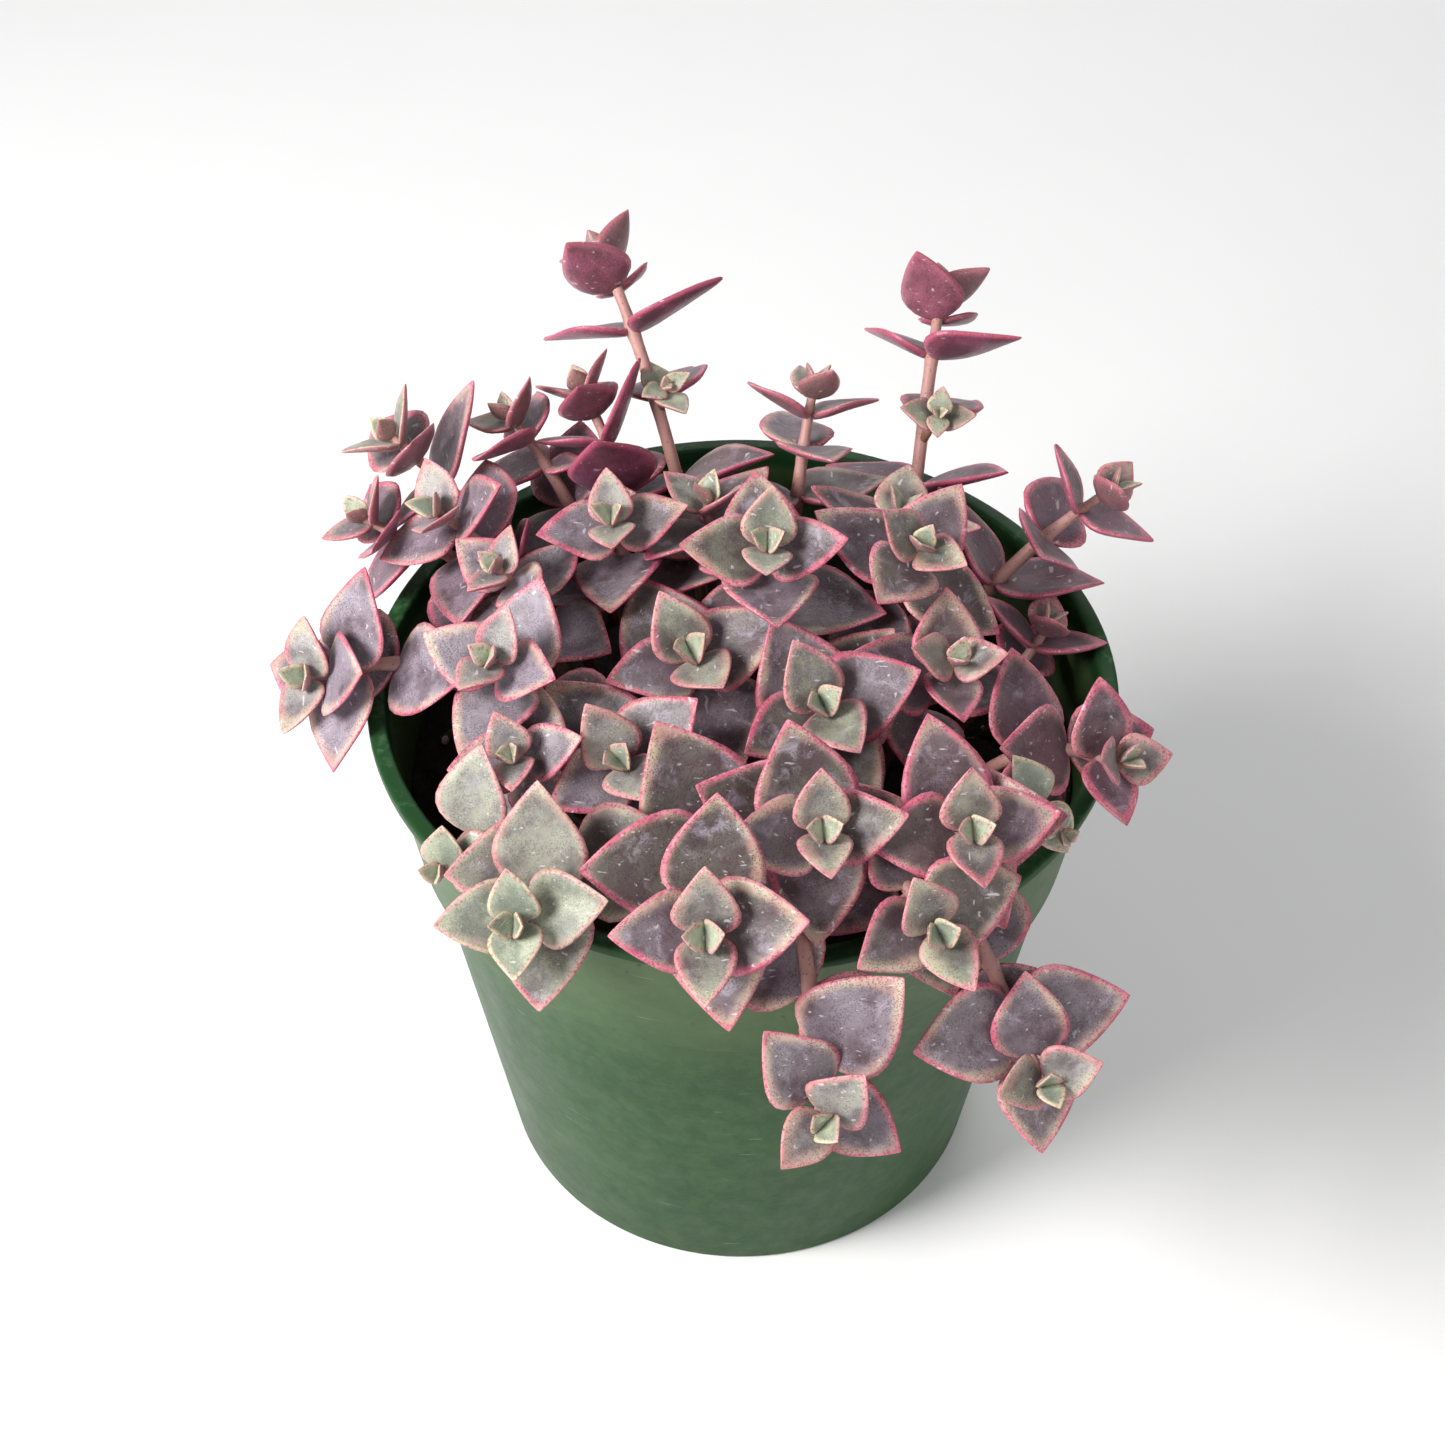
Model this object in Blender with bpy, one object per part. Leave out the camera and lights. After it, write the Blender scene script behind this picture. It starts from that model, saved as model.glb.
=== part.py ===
"""Potted crassula: a round green nursery pot, its potting mix, and the rooted shoots that were planted in it.

The origin is the middle of the pot's base pad, +Z is up, and -Y is the front, where the shoots trail over the rim.
Everything is in metres. A place above the soil is given as a share of the rim's radius and a height over the rim,
so the planting follows the pot.
"""

import math
from collections import namedtuple

import bmesh
import bpy
from mathutils import Matrix, Vector
from mathutils.bvhtree import BVHTree

MM = 0.001

# ---- Driving dimensions -------------------------------------------------------------------------

GAP = 0.3 * MM  # left between two pieces that touch

RIM_RADIUS = 52.0 * MM
POT_HEIGHT = 90.0 * MM
BASE_RADIUS = 37.5 * MM
WALL = 1.1 * MM
LIP_OVERHANG = 1.4 * MM
LIP_HEIGHT = 2.0 * MM
COLLAR_HEIGHT = 22.0 * MM
COLLAR_STEP = 1.2 * MM
FLOOR = 1.2 * MM
FOOT_WIDTH = 2.0 * MM
FLOOR_RISE = 2.0 * MM
PAD_RADIUS = 14.0 * MM
DRAIN_HOLES = 8
DRAIN_RADIUS = 3.2 * MM
POT_STEPS = 40

SOIL_BELOW_RIM = 16.0 * MM
SOIL_LUMP = 0.7 * MM
SOIL_STEPS = 28
SOIL_RINGS = 4

STEM_RADIUS = 1.0 * MM
STEM_SIDES = 5
STEM_POINTS = 6
ROOT_DEPTH = 8.0 * MM
TIP_TAPER = 0.35
CREST_SHARE = 0.95

LEAF_THICKNESS = 0.7 * MM
LEAF_THICKNESS_SHARE = 0.065
LEAF_CHANNEL = 0.16
LEAF_CURL = -0.06
LEAF_KEEL = 0.62
LEAF_CLEARANCE = 0.35 * MM

# ---- Materials ----------------------------------------------------------------------------------


def material(name, colour, roughness):
    """A plain Principled material."""
    made = bpy.data.materials.new(name)
    made.use_nodes = True
    shader = made.node_tree.nodes["Principled BSDF"]
    shader.inputs["Base Color"].default_value = (*colour, 1.0)
    shader.inputs["Roughness"].default_value = roughness
    shader.inputs["Metallic"].default_value = 0.0
    return made


def clear_scene():
    for obj in list(bpy.data.objects):
        bpy.data.objects.remove(obj, do_unlink=True)


def add_object(name, mesh, paint=None, parent=None):
    """Links a new object that holds the mesh."""
    obj = bpy.data.objects.new(name, mesh)
    bpy.context.scene.collection.objects.link(obj)
    if paint:
        mesh.materials.append(paint)
    obj.parent = parent
    return obj


def mesh_of(name, points, faces):
    """A mesh from points and faces, with its normals made to face out."""
    mesh = bpy.data.meshes.new(name)
    mesh.from_pydata(points, [], faces)
    shape = bmesh.new()
    shape.from_mesh(mesh)
    bmesh.ops.recalc_face_normals(shape, faces=shape.faces)
    shape.to_mesh(mesh)
    shape.free()
    return mesh


def as_helper(obj):
    """Marks a cutter, or a piece that a Boolean joins into another, so that it isn't a part."""
    obj.hide_render = True
    obj.display_type = "WIRE"
    return obj


def add_boolean(obj, name, operation, collection):
    modifier = obj.modifiers.new(name, "BOOLEAN")
    modifier.operation = operation
    modifier.operand_type = "COLLECTION"
    modifier.collection = collection
    modifier.solver = "EXACT"


def helper_collection(name):
    collection = bpy.data.collections.new(name)
    bpy.context.scene.collection.children.link(collection)
    return collection


# ---- Pot ----------------------------------------------------------------------------------------

COLLAR_FOOT = POT_HEIGHT - LIP_HEIGHT - COLLAR_HEIGHT
BODY_TOP_RADIUS = RIM_RADIUS - LIP_OVERHANG - COLLAR_STEP


def body_radius(height):
    """Outer radius of the tapered wall below the collar."""
    return BASE_RADIUS + (BODY_TOP_RADIUS - BASE_RADIUS) * height / POT_HEIGHT


def collar_radius(height):
    return body_radius(height) + COLLAR_STEP


def inner_radius(height):
    """Radius of the pot's inside, which steps out behind the collar as the outside does."""
    outside = collar_radius(height) if height > COLLAR_FOOT else body_radius(height)
    return outside - WALL


def pot_profile():
    """The section of the pot from the middle of its floor, over the lip, and down its outside to the pad."""
    raised = FLOOR_RISE + FLOOR
    lip_foot = POT_HEIGHT - LIP_HEIGHT
    foot_inside = BASE_RADIUS - FOOT_WIDTH
    return [
        (0.0, FLOOR),
        (PAD_RADIUS - FLOOR, FLOOR),
        (PAD_RADIUS, raised),
        (inner_radius(raised), raised),
        (inner_radius(COLLAR_FOOT), COLLAR_FOOT),
        (inner_radius(COLLAR_FOOT + WALL), COLLAR_FOOT + WALL),
        (inner_radius(POT_HEIGHT), POT_HEIGHT),
        (RIM_RADIUS, POT_HEIGHT),
        (RIM_RADIUS, lip_foot),
        (collar_radius(lip_foot), lip_foot),
        (collar_radius(COLLAR_FOOT), COLLAR_FOOT),
        (body_radius(COLLAR_FOOT), COLLAR_FOOT),
        (BASE_RADIUS, 0.0),
        (foot_inside, 0.0),
        (foot_inside - FLOOR_RISE, FLOOR_RISE),
        (PAD_RADIUS + FLOOR_RISE, FLOOR_RISE),
        (PAD_RADIUS, 0.0),
        (0.0, 0.0),
    ]


def build_pot(paint, parent):
    profile = bpy.data.meshes.new("pot")
    points = [(radius, 0.0, height) for radius, height in pot_profile()]
    profile.from_pydata(points, [(i, i + 1) for i in range(len(points) - 1)], [])
    pot = add_object("pot", profile, paint, parent)
    turn = pot.modifiers.new("turn", "SCREW")
    turn.steps = turn.render_steps = POT_STEPS
    turn.use_merge_vertices = True
    turn.merge_threshold = 0.01 * MM
    turn.use_smooth_shade = True

    cutters = helper_collection("drain_cutters")
    circle = (PAD_RADIUS + FLOOR_RISE + BASE_RADIUS - FOOT_WIDTH - FLOOR_RISE) / 2
    for i in range(DRAIN_HOLES):
        angle = 2 * math.pi * (i + 0.5) / DRAIN_HOLES
        bpy.ops.mesh.primitive_cylinder_add(
            vertices=12,
            radius=DRAIN_RADIUS,
            depth=4 * (FLOOR + FLOOR_RISE),
            location=(circle * math.cos(angle), circle * math.sin(angle), FLOOR_RISE),
        )
        cutter = as_helper(bpy.context.object)
        cutter.name = f"drain_cutter_{i + 1}"
        for home in list(cutter.users_collection):
            home.objects.unlink(cutter)
        cutters.objects.link(cutter)
    add_boolean(pot, "drain_holes", "DIFFERENCE", cutters)
    return pot


# ---- Shoots: where each grows -------------------------------------------------------------------

# root and tip are places in shares of the rim's radius (right, back), rise is the tip's height over the rim in mm,
# faces is where the tip looks (degrees round from +X, degrees above the horizon), roll turns its leaf pairs,
# leaf is its longest leaf and gap its longest stem length between pairs, both in mm,
# over is how far over the rim in mm the stem passes, for a shoot that leans out past it.
# A shoot with on grows from that one's stem and belongs to its node; its root is then how far down from that tip, in mm.
Shoot = namedtuple("Shoot", "name root tip rise faces roll leaf pairs gap over on", defaults=(None, None))

SHOOTS = [
    Shoot("shoot_tall_left", (-0.10, 0.50), (-0.41, 1.10), 30, (112, 8), 50, 15.5, 6, 13),
    Shoot("shoot_tall_right", (0.46, 0.50), (0.56, 1.08), 25, (80, 8), 65, 15, 6, 11),
    Shoot("shoot_back_middle", (0.12, 0.40), (0.19, 0.70), 22, (75, 40), 30, 14, 5, 9),
    Shoot("shoot_back_left", (-0.24, 0.44), (-0.46, 0.78), 18, (125, 28), 60, 15, 5, 9),
    Shoot("shoot_back_edge", (-0.36, 0.50), (-0.66, 0.70), 16, (140, 25), 20, 15, 5, 9),
    Shoot("shoot_left_top", (-0.46, 0.40), (-0.98, 0.61), 16, (150, 28), 55, 16, 5, 10),
    Shoot("shoot_left_upper", (-0.52, 0.24), (-1.05, 0.42), 9, (175, 32), 15, 15, 5, 9, 7),
    Shoot("shoot_left_inner", (-0.38, 0.26), (-0.82, 0.29), 16, (-165, 50), 75, 17, 5, 9),
    Shoot("shoot_left_middle", (-0.44, 0.08), (-0.64, 0.06), 16, (-160, 60), 30, 13, 5, 7),
    Shoot("shoot_left_outer", (-0.50, -0.08), (-1.15, -0.10), 3, (-110, 42), 5, 16, 5, 7.5, 5),
    Shoot("shoot_left_front", (-0.34, -0.10), (-0.63, -0.30), 17, (-118, 58), 0, 15, 5, 8),
    Shoot("shoot_left_lower", (-0.38, -0.30), (-0.56, -0.52), 11, (-120, 55), 40, 12.5, 5, 7),
    Shoot("shoot_front_far_left", (-0.30, -0.40), (-0.74, -0.74), 1, (-140, 45), 25, 12.5, 4, 7, 4),
    Shoot("shoot_front_left", (-0.18, -0.42), (-0.53, -0.98), 6, (-105, 46), 15, 15.5, 5, 7.5, 5),
    Shoot("shoot_front_middle", (-0.06, -0.26), (-0.08, -1.09), 11, (-93, 48), 5, 17, 7, 8.5, 8),
    Shoot("shoot_front_trailing", (0.08, -0.42), (0.20, -1.32), -10, (-86, 30), 135, 16.5, 5, 9.5, 4),
    Shoot("shoot_right_trailing", (0.28, -0.46), (0.73, -1.20), -10, (-72, 30), 90, 16, 5, 9.5, 4),
    Shoot("shoot_front_right", (0.20, -0.56), (0.46, -1.01), 7, (-78, 46), 20, 16, 5, 8, 7),
    Shoot("shoot_centre_front", (0.10, -0.24), (0.19, -0.83), 15, (-80, 60), 0, 16, 5, 8),
    Shoot("shoot_right_front", (0.34, -0.30), (0.54, -0.81), 14, (-78, 52), 0, 16.5, 5, 8),
    Shoot("shoot_small_green", (0.50, -0.38), (0.80, -0.62), 2, (-60, 48), 20, 9.5, 4, 6, 5.5),
    Shoot("shoot_right_outer", (0.50, -0.24), (0.96, -0.43), 6, (-20, 48), 50, 14, 5, 8, 5),
    Shoot("shoot_right_middle", (0.48, -0.02), (0.82, 0.14), 3, (55, 58), 25, 13, 5, 8),
    Shoot("shoot_right_inner", (0.36, -0.08), (0.54, -0.21), 13, (-60, 60), 65, 14, 5, 8),
    Shoot("shoot_right_far", (0.46, 0.22), (1.01, 0.45), 14, (15, 25), 60, 15, 5, 12),
    Shoot("shoot_centre_back", (0.04, 0.10), (0.06, 0.01), 23, (-90, 58), 0, 16, 5, 8),
    Shoot("shoot_centre_right", (0.28, 0.12), (0.45, 0.01), 23, (-75, 58), 45, 16, 5, 8),
    Shoot("shoot_centre_left", (-0.22, 0.16), (-0.35, 0.24), 17, (-100, 62), 15, 15, 5, 8),
    Shoot("shoot_middle", (-0.12, -0.08), (-0.13, -0.18), 12, (-100, 68), 35, 18, 5, 8),
    Shoot("shoot_middle_right", (0.18, -0.10), (0.20, -0.36), 12, (-80, 65), 20, 18, 5, 8),
    Shoot("shoot_inner_left", (-0.20, -0.24), (-0.30, -0.50), 9, (-105, 62), 50, 17, 4, 8),
    Shoot("shoot_inner_right", (0.34, 0.32), (0.42, 0.34), 14, (60, 70), 20, 17, 4, 8),
    Shoot("shoot_inner_back", (-0.06, 0.28), (-0.10, 0.36), 15, (110, 68), 30, 17, 4, 8),
    Shoot("side_shoot_left", 26, (-0.22, 0.74), 20, (-70, 45), 100, 8, 3, 4, None, "shoot_tall_left"),
    Shoot("side_shoot_right", 24, (0.54, 0.70), 17, (-95, 45), 0, 8, 3, 4, None, "shoot_tall_right"),
]

# From the tip down: each pair's leaf length as a share of the longest, its rise from flat in degrees, and its
# distance from the pair above as a share of the gap. The last value serves all pairs further down.
PAIR_SIZES = (0.27, 0.54, 0.76, 0.94, 1.05)
PAIR_LIFTS = (66, 40, 26, 15, 9, 6)
PAIR_STEPS = (0.04, 0.16, 0.30, 0.52, 0.80, 1.0)

# Leaves turn their faces to the light, which comes from above the front: the more so the flatter or lower their
# stem hangs, and the less so the more it leans to the back.
LIGHT = Vector((0.0, -0.50, 0.87))
LIGHT_PULL = 2.6

# What a leaf does where it would meet a neighbour: (extra lift, swing) in degrees, then the same when smaller.
LEAF_MOVES = (
    (0, 0), (9, 0), (-9, 0), (0, 11), (0, -11), (18, 0), (-18, 0), (9, 14), (9, -14), (-9, 14), (-9, -14),
    (28, 0), (-28, 0), (18, 24), (18, -24), (38, 0),
)
LEAF_SHRINKS = (1.0, 0.88, 0.76, 0.64, 0.52)
TOUCH = 0.03 * MM  # what a leaf keeps clear of the other leaves on its own shoot

SOIL_TOP = POT_HEIGHT - SOIL_BELOW_RIM


def at_depth(values, index):
    return values[min(index, len(values) - 1)]


def direction(around, above):
    """Unit vector from degrees round from +X and degrees above the horizon."""
    a, e = math.radians(around), math.radians(above)
    return Vector((math.cos(a) * math.cos(e), math.sin(a) * math.cos(e), math.sin(e)))


def wander(index, step):
    """A fixed value from -1 to 1 that looks uneven from one index to the next."""
    return 2 * ((index * step) % 1.0) - 1


def hermite(start, start_slope, end, end_slope, t):
    a, b = 2 * t**3 - 3 * t**2 + 1, t**3 - 2 * t**2 + t
    return a * start + b * start_slope + (1 - a) * end + (t**3 - t**2) * end_slope


def stem_path(shoot, parent_path=None):
    """Points along the stem from its root to its tip."""
    tip = Vector((shoot.tip[0] * RIM_RADIUS, shoot.tip[1] * RIM_RADIUS, POT_HEIGHT + shoot.rise * MM))
    facing = direction(*shoot.faces)
    if parent_path:
        root = point_down(parent_path, shoot.root * MM)[0]
        start = (tip - root).normalized()
    else:
        root = Vector((shoot.root[0] * RIM_RADIUS, shoot.root[1] * RIM_RADIUS, SOIL_TOP - ROOT_DEPTH))
        start = Vector((0.0, 0.0, 1.0))
    knots = [(root, start), (tip, facing)]
    if shoot.over is not None:
        outward = Vector((tip.x, tip.y, 0.0)).normalized()
        crest = outward * (RIM_RADIUS * CREST_SHARE) + Vector((0.0, 0.0, POT_HEIGHT + shoot.over * MM))
        knots.insert(1, (crest, (outward + Vector((0.0, 0.0, -0.1))).normalized()))
    points = [root]
    for (a, slope_a), (b, slope_b) in zip(knots, knots[1:]):
        reach = (b - a).length
        for i in range(STEM_POINTS):
            points.append(hermite(a, slope_a * reach, b, slope_b * reach * 0.8, (i + 1) / STEM_POINTS))
    return points


def point_down(path, distance):
    """The place that far down from the path's tip, and the stem's direction towards the tip there."""
    left = distance
    for upper, lower in zip(reversed(path), reversed(path[:-1])):
        span = (upper - lower).length
        if left <= span:
            return upper.lerp(lower, left / span), (upper - lower).normalized()
        left -= span
    return path[0].copy(), (path[1] - path[0]).normalized()


# ---- Leaf shape ---------------------------------------------------------------------------------

# Half widths and thicknesses along a leaf's blade, as (share of its length, half width share, thickness share).
# Its neck is as thin as the stem allows, and starts inside the stem.
LEAF_SECTIONS = ((0.22, 0.40, 1.0), (0.62, 0.38, 0.9))
NECK_HALF_WIDTH = 0.6 * STEM_RADIUS
NECK_THICKNESS = 0.7 * STEM_RADIUS


def leaf_mesh(base, out, up, length, grow=0.0):
    """Points and faces of one thick, channelled leaf, grown by grow on every side."""
    across = up.cross(out)
    thickness = LEAF_THICKNESS + LEAF_THICKNESS_SHARE * length
    sections = [(0.0, NECK_HALF_WIDTH, NECK_THICKNESS, 0.0)]
    for along, half, depth in LEAF_SECTIONS:
        sections.append((along * length, half * length, thickness * depth, LEAF_CHANNEL * half * length))
    points = []
    for x, half_width, deep, channel in sections:
        centre = base + out * x + up * LEAF_CURL * x**2 / length
        points += [
            centre + across * (half_width + grow) + up * channel,
            centre + up * ((1 - LEAF_KEEL) * deep + grow),
            centre - across * (half_width + grow) + up * channel,
            centre - up * (LEAF_KEEL * deep + grow),
        ]
    points.append(base + out * (length + grow) + up * LEAF_CURL * length)
    faces = [(3, 2, 1, 0)]
    rings = len(sections)
    for ring in range(rings - 1):
        for side in range(4):
            a, b = 4 * ring + side, 4 * ring + (side + 1) % 4
            faces.append((a, b, b + 4, a + 4))
    last = 4 * (rings - 1)
    faces += [(last + side, last + (side + 1) % 4, 4 * rings) for side in range(4)]
    return points, faces


Place = namedtuple("Place", "node base out up length")


def leaf_place(shoot, path, pair, side, move=(0, 0), shrink=1.0):
    """Where one leaf of one pair sits, with the move and shrink that its neighbours leave it."""
    distance = sum(at_depth(PAIR_STEPS, k) for k in range(pair + 1)) * shoot.gap * MM
    centre, stem_way = point_down(path, distance)
    bend = LIGHT_PULL * (1 - stem_way.z) / 2 * (1 - stem_way.y)
    axis = (stem_way + LIGHT * bend).normalized()
    facing = direction(*shoot.faces)
    level = facing.cross(Vector((0.0, 0.0, 1.0))).normalized()
    level = facing.rotation_difference(axis) @ level
    seed = 7 * pair + 3 * side + shoot.roll
    turn = shoot.roll + 90 * pair + 180 * side + move[1] + 7 * wander(seed, 0.618)
    lift = at_depth(PAIR_LIFTS, pair) + move[0] + 6 * wander(seed, 0.414)
    outward = Matrix.Rotation(math.radians(turn), 3, axis) @ level
    outward = (outward - axis * outward.dot(axis)).normalized()
    tilt = math.radians(lift)
    out = outward * math.cos(tilt) + axis * math.sin(tilt)
    up = axis * math.cos(tilt) - outward * math.sin(tilt)
    length = at_depth(PAIR_SIZES, pair) * shoot.leaf * MM * shrink * (1 + 0.07 * wander(seed, 0.732))
    return Place(shoot.on or shoot.name, centre + out * STEM_RADIUS * 0.15, out, up, length)


# ---- Growing without meeting a neighbour --------------------------------------------------------


class Space:
    """The solids that are already in place, to ask whether another one would meet them."""

    def __init__(self):
        self.taken = []

    def add(self, owner, points, faces):
        low, high = self.box(points)
        self.taken.append((owner, low, high, BVHTree.FromPolygons(points, faces)))

    @staticmethod
    def box(points):
        return (
            Vector([min(p[k] for p in points) for k in range(3)]),
            Vector([max(p[k] for p in points) for k in range(3)]),
        )

    def is_free(self, kin, points, faces):
        """Whether the shape meets nothing but its own kin."""
        low, high = self.box(points)
        tree = None
        for owner, other_low, other_high, other_tree in self.taken:
            if owner in kin or any(low[k] > other_high[k] or high[k] < other_low[k] for k in range(3)):
                continue
            tree = tree or BVHTree.FromPolygons(points, faces)
            if tree.overlap(other_tree):
                return False
        return True


def grown_leaves(space, paths):
    """The place of every leaf that finds room, pair by pair from the tips down."""
    places = []
    for pair in range(max(shoot.pairs for shoot in SHOOTS)):
        for shoot in SHOOTS:
            if pair >= shoot.pairs:
                continue
            for side in (0, 1):
                place = free_place(space, shoot, paths[shoot.name], pair, side)
                if place:
                    places.append(place)
                    space.add(pair_owner(shoot, pair), *leaf_mesh(*place[1:]))
    return places


def stem_owner(shoot):
    return f"stem of {shoot.on or shoot.name}"


def pair_owner(shoot, pair):
    return f"pair {pair} of {shoot.name}"


def free_place(space, shoot, path, pair, side):
    """The fullest of a leaf's possible places that clears its neighbours and its own shoot's other pairs."""
    joint = [stem_owner(shoot), pair_owner(shoot, pair)]
    whole = joint + [pair_owner(shoot, other) for other in range(shoot.pairs)]
    for shrink in LEAF_SHRINKS:
        for move in LEAF_MOVES:
            place = leaf_place(shoot, path, pair, side, move, shrink)
            if not space.is_free(joint, *leaf_mesh(*place[1:], grow=TOUCH)):
                continue
            if space.is_free(whole, *leaf_mesh(*place[1:], grow=LEAF_CLEARANCE)):
                return place
    return None


# ---- Stems --------------------------------------------------------------------------------------


def tube(path, radius, tip_share=1.0):
    """Points and faces of a closed tube along a path, tapered over its last point to tip_share of its radius."""
    points, faces = [], []
    count = len(path)
    for i, centre in enumerate(path):
        way = (path[min(i + 1, count - 1)] - path[max(i - 1, 0)]).normalized()
        side = way.orthogonal().normalized() if i == 0 else (side - way * side.dot(way)).normalized()
        other = way.cross(side)
        r = radius * (tip_share if i == count - 1 else 1.0)
        for k in range(STEM_SIDES):
            angle = 2 * math.pi * k / STEM_SIDES
            points.append(centre + (side * math.cos(angle) + other * math.sin(angle)) * r)
    for i in range(count - 1):
        for k in range(STEM_SIDES):
            a, b = STEM_SIDES * i + k, STEM_SIDES * i + (k + 1) % STEM_SIDES
            faces.append((a, b, b + STEM_SIDES, a + STEM_SIDES))
    faces.append(tuple(reversed(range(STEM_SIDES))))
    faces.append(tuple(range(STEM_SIDES * (count - 1), STEM_SIDES * count)))
    return points, faces


def shoot_paths():
    paths = {}
    for shoot in SHOOTS:
        paths[shoot.name] = stem_path(shoot, paths.get(shoot.on))
    return paths


def build_shoots(paths, places, paint, parent):
    """One object for each rooted shoot: its stem, joined with its leaves and any side shoot."""
    joined = {shoot.name: helper_collection(f"{shoot.name}_pieces") for shoot in SHOOTS if not shoot.on}
    for shoot in SHOOTS:
        points, faces = tube(paths[shoot.name], STEM_RADIUS, TIP_TAPER)
        mesh = mesh_of(shoot.name, points, faces)
        if shoot.on:
            joined[shoot.on].objects.link(as_helper(bpy.data.objects.new(shoot.name, mesh)))
        else:
            stem = add_object(shoot.name, mesh, paint, parent)
            add_boolean(stem, "leaves", "UNION", joined[shoot.name])
    for number, place in enumerate(places):
        mesh = mesh_of(f"leaf_{number}", *leaf_mesh(*place[1:]))
        joined[place.node].objects.link(as_helper(bpy.data.objects.new(mesh.name, mesh)))
    bpy.context.view_layer.update()
    for name in joined:
        settle_union(bpy.data.objects[name])


def settle_union(obj):
    """Applies an object's union, and fills any pocket that its leaves closed between them."""
    graph = bpy.context.evaluated_depsgraph_get()
    mesh = bpy.data.meshes.new_from_object(obj.evaluated_get(graph))
    obj.modifiers.clear()
    obj.data = mesh
    shape = bmesh.new()
    shape.from_mesh(mesh)
    left = set(shape.faces)
    pockets = []
    while left:
        shell, edge = [], [left.pop()]
        while edge:
            face = edge.pop()
            shell.append(face)
            near = {other for side in face.edges for other in side.link_faces} & left
            left -= near
            edge += near
        if shell_volume(shell) <= 0:
            pockets += shell
    bmesh.ops.delete(shape, geom=pockets, context="FACES")
    shape.to_mesh(mesh)
    shape.free()


def shell_volume(shell):
    """Six times the signed volume inside a closed set of faces, which is negative for a pocket."""
    total = 0.0
    for face in shell:
        corners = [vertex.co for vertex in face.verts]
        for a, b in zip(corners[1:], corners[2:]):
            total += corners[0].dot(a.cross(b))
    return total


# ---- Potting mix --------------------------------------------------------------------------------


def soil_height(x, y):
    """Top of the potting mix, which is pressed level but lumpy."""
    lumps = math.sin(310 * x + 1.3) * math.cos(270 * y) + 0.6 * math.sin(190 * (x + y) + 0.4)
    return SOIL_TOP + SOIL_LUMP * lumps


def build_soil(paths, paint, parent):
    bottom = FLOOR_RISE + FLOOR + GAP
    top_radius = inner_radius(SOIL_TOP) - GAP - SOIL_LUMP
    step_height = COLLAR_FOOT
    sides = [(top_radius * (i + 1) / SOIL_RINGS, None) for i in range(SOIL_RINGS)]
    sides += [
        (inner_radius(step_height) - GAP, step_height),
        (inner_radius(bottom) - GAP, bottom),
    ]
    points, faces = [(0.0, 0.0, soil_height(0.0, 0.0))], []
    for radius, height in sides:
        for k in range(SOIL_STEPS):
            angle = 2 * math.pi * k / SOIL_STEPS
            x, y = radius * math.cos(angle), radius * math.sin(angle)
            points.append((x, y, soil_height(x, y) if height is None else height))
    for k in range(SOIL_STEPS):
        faces.append((0, 1 + k, 1 + (k + 1) % SOIL_STEPS))
    for ring in range(len(sides) - 1):
        start = 1 + ring * SOIL_STEPS
        for k in range(SOIL_STEPS):
            a, b = start + k, start + (k + 1) % SOIL_STEPS
            faces.append((a, b, b + SOIL_STEPS, a + SOIL_STEPS))
    last = 1 + (len(sides) - 1) * SOIL_STEPS
    faces.append(tuple(range(last, last + SOIL_STEPS)))
    soil = add_object("potting_mix", mesh_of("potting_mix", points, faces), paint, parent)

    sockets = helper_collection("stem_sockets")
    for shoot in SHOOTS:
        if shoot.on:
            continue
        path = paths[shoot.name]
        above = next(i for i, point in enumerate(path) if point.z > SOIL_TOP + 3 * SOIL_LUMP)
        below = path[0] - Vector((0.0, 0.0, GAP))
        points, faces = tube([below] + path[1 : above + 1], STEM_RADIUS + GAP)
        cutter = bpy.data.objects.new(f"{shoot.name}_socket", mesh_of("socket", points, faces))
        sockets.objects.link(as_helper(cutter))
    add_boolean(soil, "sockets", "DIFFERENCE", sockets)
    return soil


# ---- Grains on the mix --------------------------------------------------------------------------

# (name, place in shares of the rim's radius, size in mm along, across and high, turn in degrees)
GRAINS = [
    ("perlite_grain_1", (0.76, -0.14), (5.0, 4.4, 4.2), 20),
    ("perlite_grain_2", (-0.72, -0.20), (3.2, 2.8, 2.4), 70),
    ("perlite_grain_3", (0.20, 0.72), (3.6, 3.0, 2.6), 110),
    ("bark_chip_1", (-0.62, -0.40), (7.0, 4.0, 1.8), 35),
    ("bark_chip_2", (0.74, 0.06), (9.0, 2.0, 1.6), -8),
    ("bark_chip_3", (-0.12, 0.76), (6.0, 3.6, 1.8), 100),
]


def build_grains(space, perlite, bark, parent):
    """Perlite and bark that have come to rest on the mix, each just clear of it."""
    for name, (right, back), size, turn in GRAINS:
        shape = bmesh.new()
        bmesh.ops.create_icosphere(shape, subdivisions=1, radius=1.0)
        for i, vertex in enumerate(shape.verts):
            vertex.co *= 1 + 0.12 * wander(i + len(name), 0.618)
        shape.transform(Matrix.Diagonal((*Vector(size) * MM / 2, 1.0)))
        shape.transform(Matrix.Rotation(math.radians(turn), 4, "Z"))
        start = SOIL_TOP + 2 * SOIL_LUMP + size[2] * MM
        shape.transform(Matrix.Translation((right * RIM_RADIUS, back * RIM_RADIUS, start)))
        mesh = bpy.data.meshes.new(name)
        shape.to_mesh(mesh)
        shape.free()
        faces = [tuple(p.vertices) for p in mesh.polygons]
        fallen = 0.0
        while space.is_free((), [v.co - Vector((0.0, 0.0, fallen)) for v in mesh.vertices], faces):
            fallen += GAP / 3
        mesh.transform(Matrix.Translation((0.0, 0.0, GAP - fallen)))
        add_object(name, mesh, perlite if name.startswith("perlite") else bark, parent)
        space.add(name, [v.co.copy() for v in mesh.vertices], faces)


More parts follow.
